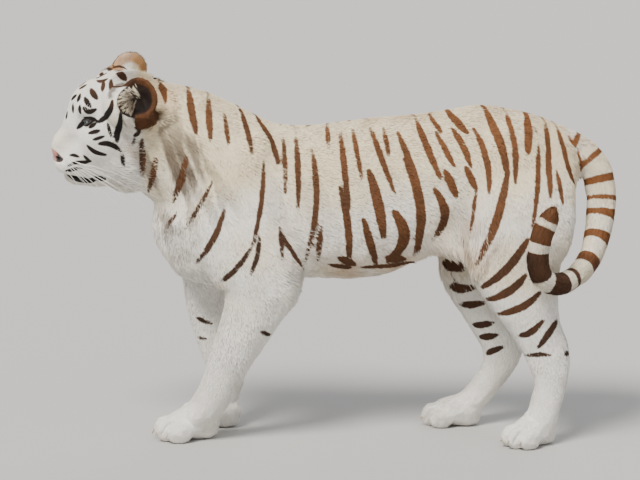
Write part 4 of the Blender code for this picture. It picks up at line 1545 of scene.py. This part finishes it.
def tuft_mesh(name, points, kind, marks, middle_uv, shade):
    """One mesh of many tufts of a kind, with its values and its OFBake map."""
    count, size = points.shape[:2]
    rows = (np.arange(count)[:, None, None] * size + kind["faces"][None]).reshape(-1, 3)
    mesh = mesh_of(name, points.reshape(-1, 3), rows)
    for mark, values in marks.items():
        write_values(mesh, mark, values.ravel())
    write_values(mesh, "tip", np.tile(kind["tip"], count))
    write_values(mesh, "lane", (shade[:, None] * 97 + kind["lane"][None]).ravel())
    write_values(mesh, "shade", np.repeat(shade, size))
    layer = mesh.uv_layers.new(name="OFBake")
    spots = middle_uv[:, None, :] + kind["patch"][None] * PATCH_SIZE
    layer.data.foreach_set("uv", spots[:, kind["faces"].ravel()].astype(np.float32).ravel())
    return mesh


def show_coat(name, part, kind):
    """Make one piece of coat from the tufts, grown last, that belong to it."""
    own = {mark: values[part] for mark, values in marks.items()}
    mesh = tuft_mesh(name, points[part], kind, own, middle_uv[part], shade[part])
    piece = show(name, mesh, tuft_material)
    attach(piece, "root")
    print(piece.name, len(mesh.polygons), "triangles")


# %% Names of the pieces of coat
def region_of(points):
    """Which piece of coat each root belongs to."""
    body = points - SPINE
    local = to_head(points)
    names = np.where(body[:, 1] < 0, "left", "right").astype(object)
    x, z = body[:, 0], body[:, 2]
    part = np.full(len(points), "flank", dtype=object)
    part[x < -0.14] = "shoulder"
    part[(x < -0.14) & (z < 0.46)] = "foreleg"
    part[x > 0.25] = "loin"
    part[x > 0.42] = "haunch"
    part[(x > 0.28) & (z < 0.50)] = "hindleg"
    part[(local[:, 0] < -0.44) & (local[:, 2] > 0.64)] = "neck"
    found = part + "_" + names
    along, gap, _ = along_tail(points)
    found[(gap < 0.055) & (along > 0.09)] = "tail"
    return found



# %% Grow the body coat
ROOTS = 222000
ROOT_SPACING = 0.0031
chosen, shares, roots = sow(ROOTS, 2.6, 1.0 - short_share * 0.999, ROOT_SPACING)
normal = unit(at_roots(skin_normals, chosen, shares))
way, length, lift = coat_at(roots)
count = len(roots)
length = length * 1.15 * (1 + CHANCE.normal(0, 0.18, count))
clump = np.array([noise.noise(Vector(p) * 28.0) for p in roots])
lift = lift * np.clip(0.85 + 0.55 * clump + CHANCE.normal(0, 0.15, count), 0.2, 1.25)
swirl = np.array([noise.noise(Vector(p) * 19.0 + Vector((5, 5, 5))) for p in roots])
bend = CHANCE.normal(0, 0.14, count) + 0.35 * swirl
width = np.clip(length * 0.165, 0.0022, 0.0038) * (1 + CHANCE.normal(0, 0.15, count))
points = above_floor(tuft_points(roots, normal, way, length, lift, width, bend))
marks = marks_along(points, [(4, (3, 4, 5)), (6, (6,))])
shade = CHANCE.random(count)
middle_uv = unwrap_at(roots)
region = region_of(roots)
print("body roots:", count)
for name in sorted(set(region)):
    show_coat("coat_" + name, region == name, BODY_TUFT)


# %% Where no hair grows
def bare_at(points):
    """True where no hair grows: inside the lids, on the lips and on the nose."""
    local = to_head(points)
    found = np.zeros(len(points), bool)
    for side in (-1, 1):
        middle, out, across, up = eye_axes(side)
        away = local - middle
        near = (np.linalg.norm(away, axis=1) < 0.03) & (away @ out > 0)
        found |= near & (opening(away @ across, away @ up) > -0.0022)
    on_nose = (nose_edge(local) > -2) & by_the_nose(local)
    face, corner = beneath(points, dense_tree, dense_points, dense_faces)
    on_lips = (mouth_line[dense_faces[face]] * corner).sum(axis=1) > -0.001
    return found | on_lips | on_nose


# %% Grow the short coat of face, ears and paws
SHORT_ROOTS = 60000
SHORT_SPACING = 0.0020
chosen, shares, roots = sow(SHORT_ROOTS, 2.2, np.maximum(short_share, 1e-6), SHORT_SPACING)
bare = bare_at(roots)
chosen, shares, roots = chosen[~bare], shares[~bare], roots[~bare]
normal = unit(at_roots(skin_normals, chosen, shares))
way, length, lift = coat_at(roots)
count = len(roots)
length = np.minimum(length, 0.012) * (1 + CHANCE.normal(0, 0.15, count))
lift = np.minimum(lift, 0.0030) * np.clip(1 + CHANCE.normal(0, 0.25, count), 0.2, 1.6)
bend = CHANCE.normal(0, 0.16, count)
width = np.clip(length * 0.24, 0.0011, 0.0026)
points = tuft_points(roots, normal, way, length, lift, width, bend)[:, [0, 1, 2, 6]]
points = above_floor(points)
marks = marks_along(points, [(3, (3,))])
shade = CHANCE.random(count)
middle_uv = unwrap_at(roots)
high = roots[:, 2] > 0.5
show_coat("coat_face", high & (to_head(roots)[:, 2] > 0.60), SHORT_TUFT)
show_coat("coat_paws", ~high, SHORT_TUFT)

# %% Hair inside the ears
roots, ways, normals_in = [], [], []
for side, root in EAR_ROOTS.items():
    mouth = unit(np.array(EAR_NOW[side]))
    away = skin_points - from_head([root])[0]
    flat = np.linalg.norm(away - np.outer(away @ mouth, mouth), axis=1)
    front = (away[:, 0] < -0.006) & (np.linalg.norm(away, axis=1) < 0.07)
    front &= (flat > 0.024) & (flat < 0.046) & (skin_normals @ mouth > 0.1)
    found = np.nonzero(front)[0]
    found = CHANCE.choice(found, size=min(460, 3 * len(found)))
    jitter = CHANCE.normal(0, 0.0012, (len(found), 3))
    roots.append(skin_points[found] + jitter)
    inward = np.outer(away[found] @ mouth, mouth) - away[found]
    inward = unit(inward + np.array([0.012, 0.0, 0.004]))
    ways.append(unit(inward + CHANCE.normal(0, 0.12, inward.shape)))
    normals_in.append(np.tile(mouth, (len(found), 1)))
roots, ways, normals_in = np.vstack(roots), np.vstack(ways), np.vstack(normals_in)
count = len(roots)
length = 0.021 * (1 + CHANCE.normal(0, 0.25, count))
width, bend = np.full(count, 0.0013), np.zeros(count)
points = tuft_points(roots, normals_in, ways, length, length * 0.13, width, bend)
points = above_floor(points)
plain = {"stripe": -20.0, "dark": 0.0, "cream": 0.6, "warm": 0.0, "crisp": 1.0, "parting_shade": 0.9}
marks = {name: np.full((count, 7), value) for name, value in plain.items()}
# painted shade: a third of the locks are darkened, and all of them a little, as hair in the shade of the cup
shaded_locks = CHANCE.random(count) < 0.35
marks["stripe"][shaded_locks] = 6.0
marks["dark"][shaded_locks] = 0.85
shade = CHANCE.random(count) * 0.5
mesh = tuft_mesh("ear_hair", points, BODY_TUFT, marks, unwrap_at(roots), shade)
ear_hair = show("coat_ear_hair", mesh, tuft_material)
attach(ear_hair, "root")
print("ear hair:", count, "locks")

# %% [markdown]
# ## Eyes
#
# A big cat's eye is a ball with a round pupil and an iris that fills the opening. The
# ball is turned from rings about the line of sight, and bulges a little in front, as a
# cornea does. Each point stores its distance from that line, and the material reads it
# for pupil, iris and rim. Low roughness makes the eye wet. The lids' bare edge is a
# dark, moist cord that follows the opening.


# %% Meshes from grids
def grid_faces(rows, columns, start=0):
    """Four-cornered faces over a grid of points whose columns close into a ring."""
    row = np.arange(rows - 1)[:, None] * columns + start
    column = np.arange(columns)[None, :]
    onward = (column + 1) % columns
    corners = [row + column, row + onward, row + columns + onward, row + columns + column]
    return np.stack(corners, axis=-1).reshape(-1, 4)


def tube(line, radii, sides=8, flat=1.0):
    """Rings of points round a line, thin at its ends: a strand, cord or claw."""
    line = np.asarray(line, float)
    ways = unit(np.gradient(line, axis=0))
    aside = unit(np.cross(ways, np.array([0.13, 0.21, 0.97])))
    upward = np.cross(aside, ways)
    turn = np.linspace(0, 2 * np.pi, sides, endpoint=False)
    ring = np.cos(turn)[None, :, None] * aside[:, None] * flat
    ring = ring + np.sin(turn)[None, :, None] * upward[:, None]
    return line[:, None, :] + ring * np.asarray(radii, float)[:, None, None]


def join_grids(name, grids):
    """One mesh of several ringed grids."""
    faces, start = [], 0
    for grid in grids:
        faces.append(grid_faces(*grid.shape[:2], start))
        start += grid.shape[0] * grid.shape[1]
    return mesh_of(name, np.vstack([grid.reshape(-1, 3) for grid in grids]), np.vstack(faces))


# %% Eye material
eye_material = plain_material("wet_eye", (0.3, 0.4, 0.45), 0.08)
recipe = Recipe(eye_material)
ring = recipe.value("ring")
fibres = recipe.noise(900.0, 3.0)
iris = recipe.blend(recipe.ramp(fibres, 0.3, 0.7), (0.07, 0.11, 0.14), (0.15, 0.22, 0.25))
iris = recipe.blend(recipe.ramp(ring, 3.2, 5.5, 0.6, 0.0), iris, (0.20, 0.20, 0.13))
iris = recipe.blend(recipe.ramp(ring, 6.8, 8.8), iris, (0.035, 0.022, 0.016))
iris = recipe.blend(recipe.ramp(ring, 10.5, 13.0), iris, (0.12, 0.06, 0.045))
iris = recipe.blend(recipe.ramp(ring, 3.0, 3.5), (0.004, 0.004, 0.004), iris)
recipe.surface("Base Color", iris)
recipe.surface("Roughness", recipe.ramp(fibres, 0.3, 0.7, 0.06, 0.14))
recipe.surface("Specular IOR Level", 0.4)

# %% Eyeballs
EYE_RINGS = 40
EYE_SIDES = 48
for side, name in ((-1, "left"), (1, "right")):
    middle, out, across, up = eye_axes(side)
    angle = np.linspace(0.0, math.radians(150), EYE_RINGS)
    angle[0] = 0.004
    size = EYE_RADIUS - 0.0004 + 0.0012 * np.exp(-((angle / 0.42) ** 2))
    turn = np.linspace(0, 2 * np.pi, EYE_SIDES, endpoint=False)
    around = np.cos(turn)[None, :, None] * across + np.sin(turn)[None, :, None] * up
    ways = np.cos(angle)[:, None, None] * out + np.sin(angle)[:, None, None] * around
    grid = middle + size[:, None, None] * ways
    mesh = join_grids("eye_" + name, [from_head(grid.reshape(-1, 3)).reshape(grid.shape)])
    from_axis = EYE_RADIUS * np.sin(np.minimum(angle, 1.57)) * 1000
    write_values(mesh, "ring", np.repeat(from_axis, EYE_SIDES))
    eye = show("eye_" + name, mesh, eye_material)
    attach(eye, "root")
print("eyes:", round(EYE_RADIUS * 2000), "mm across")

# %% Bare skin of lids, lips and nose
leather_material = plain_material("dark_leather", (0.03, 0.02, 0.018), 0.35)
recipe = Recipe(leather_material)
grain = recipe.noise(700.0, 4.0)
hide = recipe.blend(recipe.ramp(grain, 0.3, 0.7), (0.018, 0.012, 0.011), (0.055, 0.034, 0.028))
recipe.surface("Base Color", hide)
recipe.surface("Roughness", recipe.ramp(grain, 0.3, 0.7, 0.28, 0.5))
recipe.bump(0.4, 0.0006, grain)

# %% Edges of the lids
EDGE_STEPS = 33
for side, name in ((-1, "left"), (1, "right")):
    middle, out, across, up = eye_axes(side)
    for lid, height, way in (("upper", UPPER, 1), ("lower", LOWER, -1)):
        radius = lid_radius(height)
        sweep = np.linspace(-OPENING * 1.03, OPENING * 1.03, EDGE_STEPS)
        rise = way * (height - radius + np.sqrt(np.maximum(radius**2 - sweep**2, 0)))
        ball = EYE_RADIUS + 0.0012
        forward = np.sqrt(np.maximum(ball**2 - sweep**2 - rise**2, 1e-6))
        line = middle + sweep[:, None] * across + rise[:, None] * up + forward[:, None] * out
        thick = 0.0006 + 0.0012 * np.sin(np.linspace(0.05, np.pi - 0.05, EDGE_STEPS)) ** 0.5
        mesh = join_grids("lid", [tube(from_head(line), thick, 10)])
        edge = show("lid_%s_%s" % (lid, name), mesh, leather_material)
        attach(edge, "root")
print("lids edged")

# %% [markdown]
# ## Nose
#
# The nose is bare, moist and pink, with a fine grain like an orange's peel and a darker
# edge. Its outline is set by angles as seen from a middle inside the muzzle. A grid of rays
# from there finds the face, and the pad stands a little proud of it, rolled in at its
# rim and hollowed for the nostrils.

# %% Nose pad
head_points = to_head(points_of(skin.data))
middles = head_points[faces].mean(axis=1)
front = faces[(middles[:, 0] < -0.70) & (middles[:, 2] > 0.70)]
front_tree = BVHTree.FromPolygons(head_points.tolist(), front.tolist())
NOSE_ROWS, NOSE_COLUMNS = 56, 72
shape = np.array(NOSE_SHAPE, float)
rows = np.linspace(0, 1, NOSE_ROWS)
highs = np.interp(rows, np.linspace(0, 1, len(shape)), shape[:, 0])
wides = np.interp(highs, shape[::-1, 0], shape[::-1, 1])
share = np.linspace(-1, 1, NOSE_COLUMNS)
side = wides[:, None] * share[None, :]
high = np.repeat(highs[:, None], NOSE_COLUMNS, axis=1)
a, e = np.radians(side), np.radians(high)
rays = np.stack([-np.cos(a) * np.cos(e), np.sin(a) * np.cos(e), np.sin(e)], axis=-1)
reach = np.zeros(side.shape)
for i in range(NOSE_ROWS):
    for j in range(NOSE_COLUMNS):
        hit = front_tree.ray_cast(Vector(NOSE_MIDDLE), Vector(rays[i, j]), 0.1)
        reach[i, j] = hit[3] if hit[0] else 0.03
for _ in range(6):
    around = reach[:-2, 1:-1] + reach[2:, 1:-1] + reach[1:-1, :-2] + reach[1:-1, 2:]
    reach[1:-1, 1:-1] = (around + 4 * reach[1:-1, 1:-1]) / 8
hollow = nostril_depth(side, high)
rim = np.minimum(1 - np.abs(share)[None, :], np.minimum(rows, 1 - rows)[:, None] * 2.2)
raised = 0.0030 * ease(rim, 0.0, 0.16) - 0.0014 + 0.0075 * hollow
reach = reach + raised - 0.0070 * ease(hollow, 0.25, 0.8) - 0.0008 * np.exp(-((side / 3.0) ** 2))
pad = NOSE_MIDDLE + rays * reach[:, :, None]
index = np.arange(NOSE_ROWS * NOSE_COLUMNS).reshape(NOSE_ROWS, NOSE_COLUMNS)
quads = np.stack([index[:-1, :-1], index[1:, :-1], index[1:, 1:], index[:-1, 1:]], axis=-1).reshape(-1, 4)
nose_mesh = mesh_of("nose", from_head(pad.reshape(-1, 3)), quads)
# Painted shadow, stored as hollow: near black in the nostrils and along the sides of the pad.
shadow = np.maximum(ease(hollow, 0.10, 0.42), 0.92 * ease(np.abs(side), 42, 56))
write_values(nose_mesh, "hollow", shadow.ravel())
write_values(nose_mesh, "rim", rim.ravel())
print("nose pad:", len(quads), "faces")

# %% Nose leather
nose_material = plain_material("nose_leather", (0.5, 0.22, 0.19), 0.4)
recipe = Recipe(nose_material)
blotch = recipe.noise(60.0, 3.0)
cells = recipe.add("ShaderNodeTexVoronoi", feature="DISTANCE_TO_EDGE", Scale=850.0)
recipe.feed(cells.inputs["Vector"], recipe.add("ShaderNodeTexCoord").outputs["Object"])
pink = recipe.blend(recipe.ramp(blotch, 0.35, 0.65), (0.46, 0.19, 0.16), (0.60, 0.32, 0.27))
pink = recipe.blend(recipe.ramp(recipe.value("rim"), 0.02, 0.16, 0.75, 0.0), pink, (0.10, 0.045, 0.04))
# painted shadow in the nostrils and on the sides of the pad
pink = recipe.blend(recipe.value("hollow"), pink, (0.010, 0.006, 0.006))
recipe.surface("Base Color", pink)
recipe.surface("Roughness", recipe.ramp(blotch, 0.3, 0.7, 0.32, 0.5))
recipe.bump(0.5, 0.0005, recipe.ramp(cells.outputs["Distance"], 0.0, 0.25))
nose = show("nose", nose_mesh, nose_material)
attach(nose, "root")
print("nose leather:", nose_material.name)

# %% [markdown]
# ## Whiskers, brow hairs and claws
#
# Whiskers are stiff white hairs that grow in rows on the pads of the upper lip, sweep
# back and droop. Each one is a thin tapered strand along a bent line, and all of one side
# are joined in one mesh. Claws are drawn in while she stands, so only their tips show
# between the hairs of each toe.

# %% Whiskers
hair_material = plain_material("whisker", (0.85, 0.83, 0.78), 0.35)
recipe = Recipe(hair_material)
shine = recipe.noise(300.0, 2.0)
pale = recipe.blend(recipe.ramp(shine, 0.3, 0.7), (0.80, 0.77, 0.70), (0.90, 0.89, 0.86))
recipe.surface("Base Color", pale)
recipe.surface("Roughness", recipe.ramp(shine, 0.3, 0.7, 0.3, 0.5))
whole_tree = BVHTree.FromPolygons(head_points.tolist(), faces.tolist())


def hair(root, aim, sunk, size, bow, steps, thick, tip):
    """A tapered strand from the skin nearest to a root, along aim and bent by bow."""
    root = np.array(whole_tree.find_nearest(Vector(CM * np.array(root)))[0])
    t = np.linspace(0, 1, steps)[:, None]
    line = root - aim * sunk + size * (aim * t + bow * t * t)
    return tube(from_head(line), thick * (1 - t[:, 0]) ** 0.7 + tip, 5)


for side, name in ((-1, "left"), (1, "right")):
    strands = []
    for row in range(4):
        for step in range(5):
            root_x = -74.8 + 1.35 * step + 0.3 * row
            root_y = side * (4.4 + 0.55 * step)
            root_z = 80.3 - 0.85 * row - 0.15 * step
            size = CM * (7.5 + 2.6 * step - 0.8 * row + 1.6 * CHANCE.random())
            rise = 0.10 - 0.13 * row + 0.05 * CHANCE.normal()
            aim = unit(np.array([0.42 + 0.13 * step, side * (0.88 - 0.12 * step), rise]))
            bow = np.array([0.62, side * 0.02, -0.62 - 0.08 * row]) * 0.5
            root = (root_x, root_y, root_z)
            strands.append(hair(root, aim, 0.003, size, bow, 12, 0.00072, 0.00010))
    for step in range(5):
        root = (-69.4 + 0.35 * step, side * (5.4 + 0.45 * step), 95.3 + 0.3 * step)
        aim = unit(np.array([-0.55 + 0.15 * step, side * 0.45, 0.75]))
        size = CM * (4.0 + 0.5 * step)
        bow = np.array([0.35, side * 0.1, -0.1])
        strands.append(hair(root, aim, 0.002, size, bow, 9, 0.00040, 0.00007))
    hairs = show("whiskers_" + name, join_grids("whiskers", strands), hair_material)
    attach(hairs, "root")
    print(name, "whiskers and brow hairs:", len(strands))

# %% Claws
CLAW_HEIGHT = 0.005  # no claw reaches lower than this
TOES = [(-5.8, -1.7, 3.8), (-5.8, 1.7, 3.8), (-3.6, -4.7, 3.6), (-3.6, 4.7, 3.6)]
claw_material = plain_material("claw_horn", (0.35, 0.27, 0.2), 0.35)
recipe = Recipe(claw_material)
layers = recipe.noise(260.0, 2.0, (4, 1, 1))
horn = recipe.blend(recipe.ramp(layers, 0.3, 0.7), (0.30, 0.22, 0.15), (0.62, 0.55, 0.46))
recipe.surface("Base Color", horn)
recipe.surface("Roughness", recipe.ramp(layers, 0.3, 0.7, 0.25, 0.45))
for name in PAWS:
    claws = []
    for toe_x, toe_y, reach in TOES:
        t = np.linspace(0, 1, 10)
        front = toe_x - reach * 0.86 - 0.80 * np.sin(t * 1.35)
        fall = 2.55 - 1.70 * (1 - np.cos(t * 1.35))
        line = on_paw(name, np.stack([front, toe_y + 0 * t, fall], axis=1))
        line[:, 2] = np.maximum(line[:, 2], CLAW_HEIGHT)
        claws.append(tube(line, CM * (0.36 * (1 - t) ** 0.8 + 0.02), 8))
    piece = show("claws_" + name, join_grids("claws", claws), claw_material)
    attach(piece, "root")
print("claws on", len(PAWS), "paws")
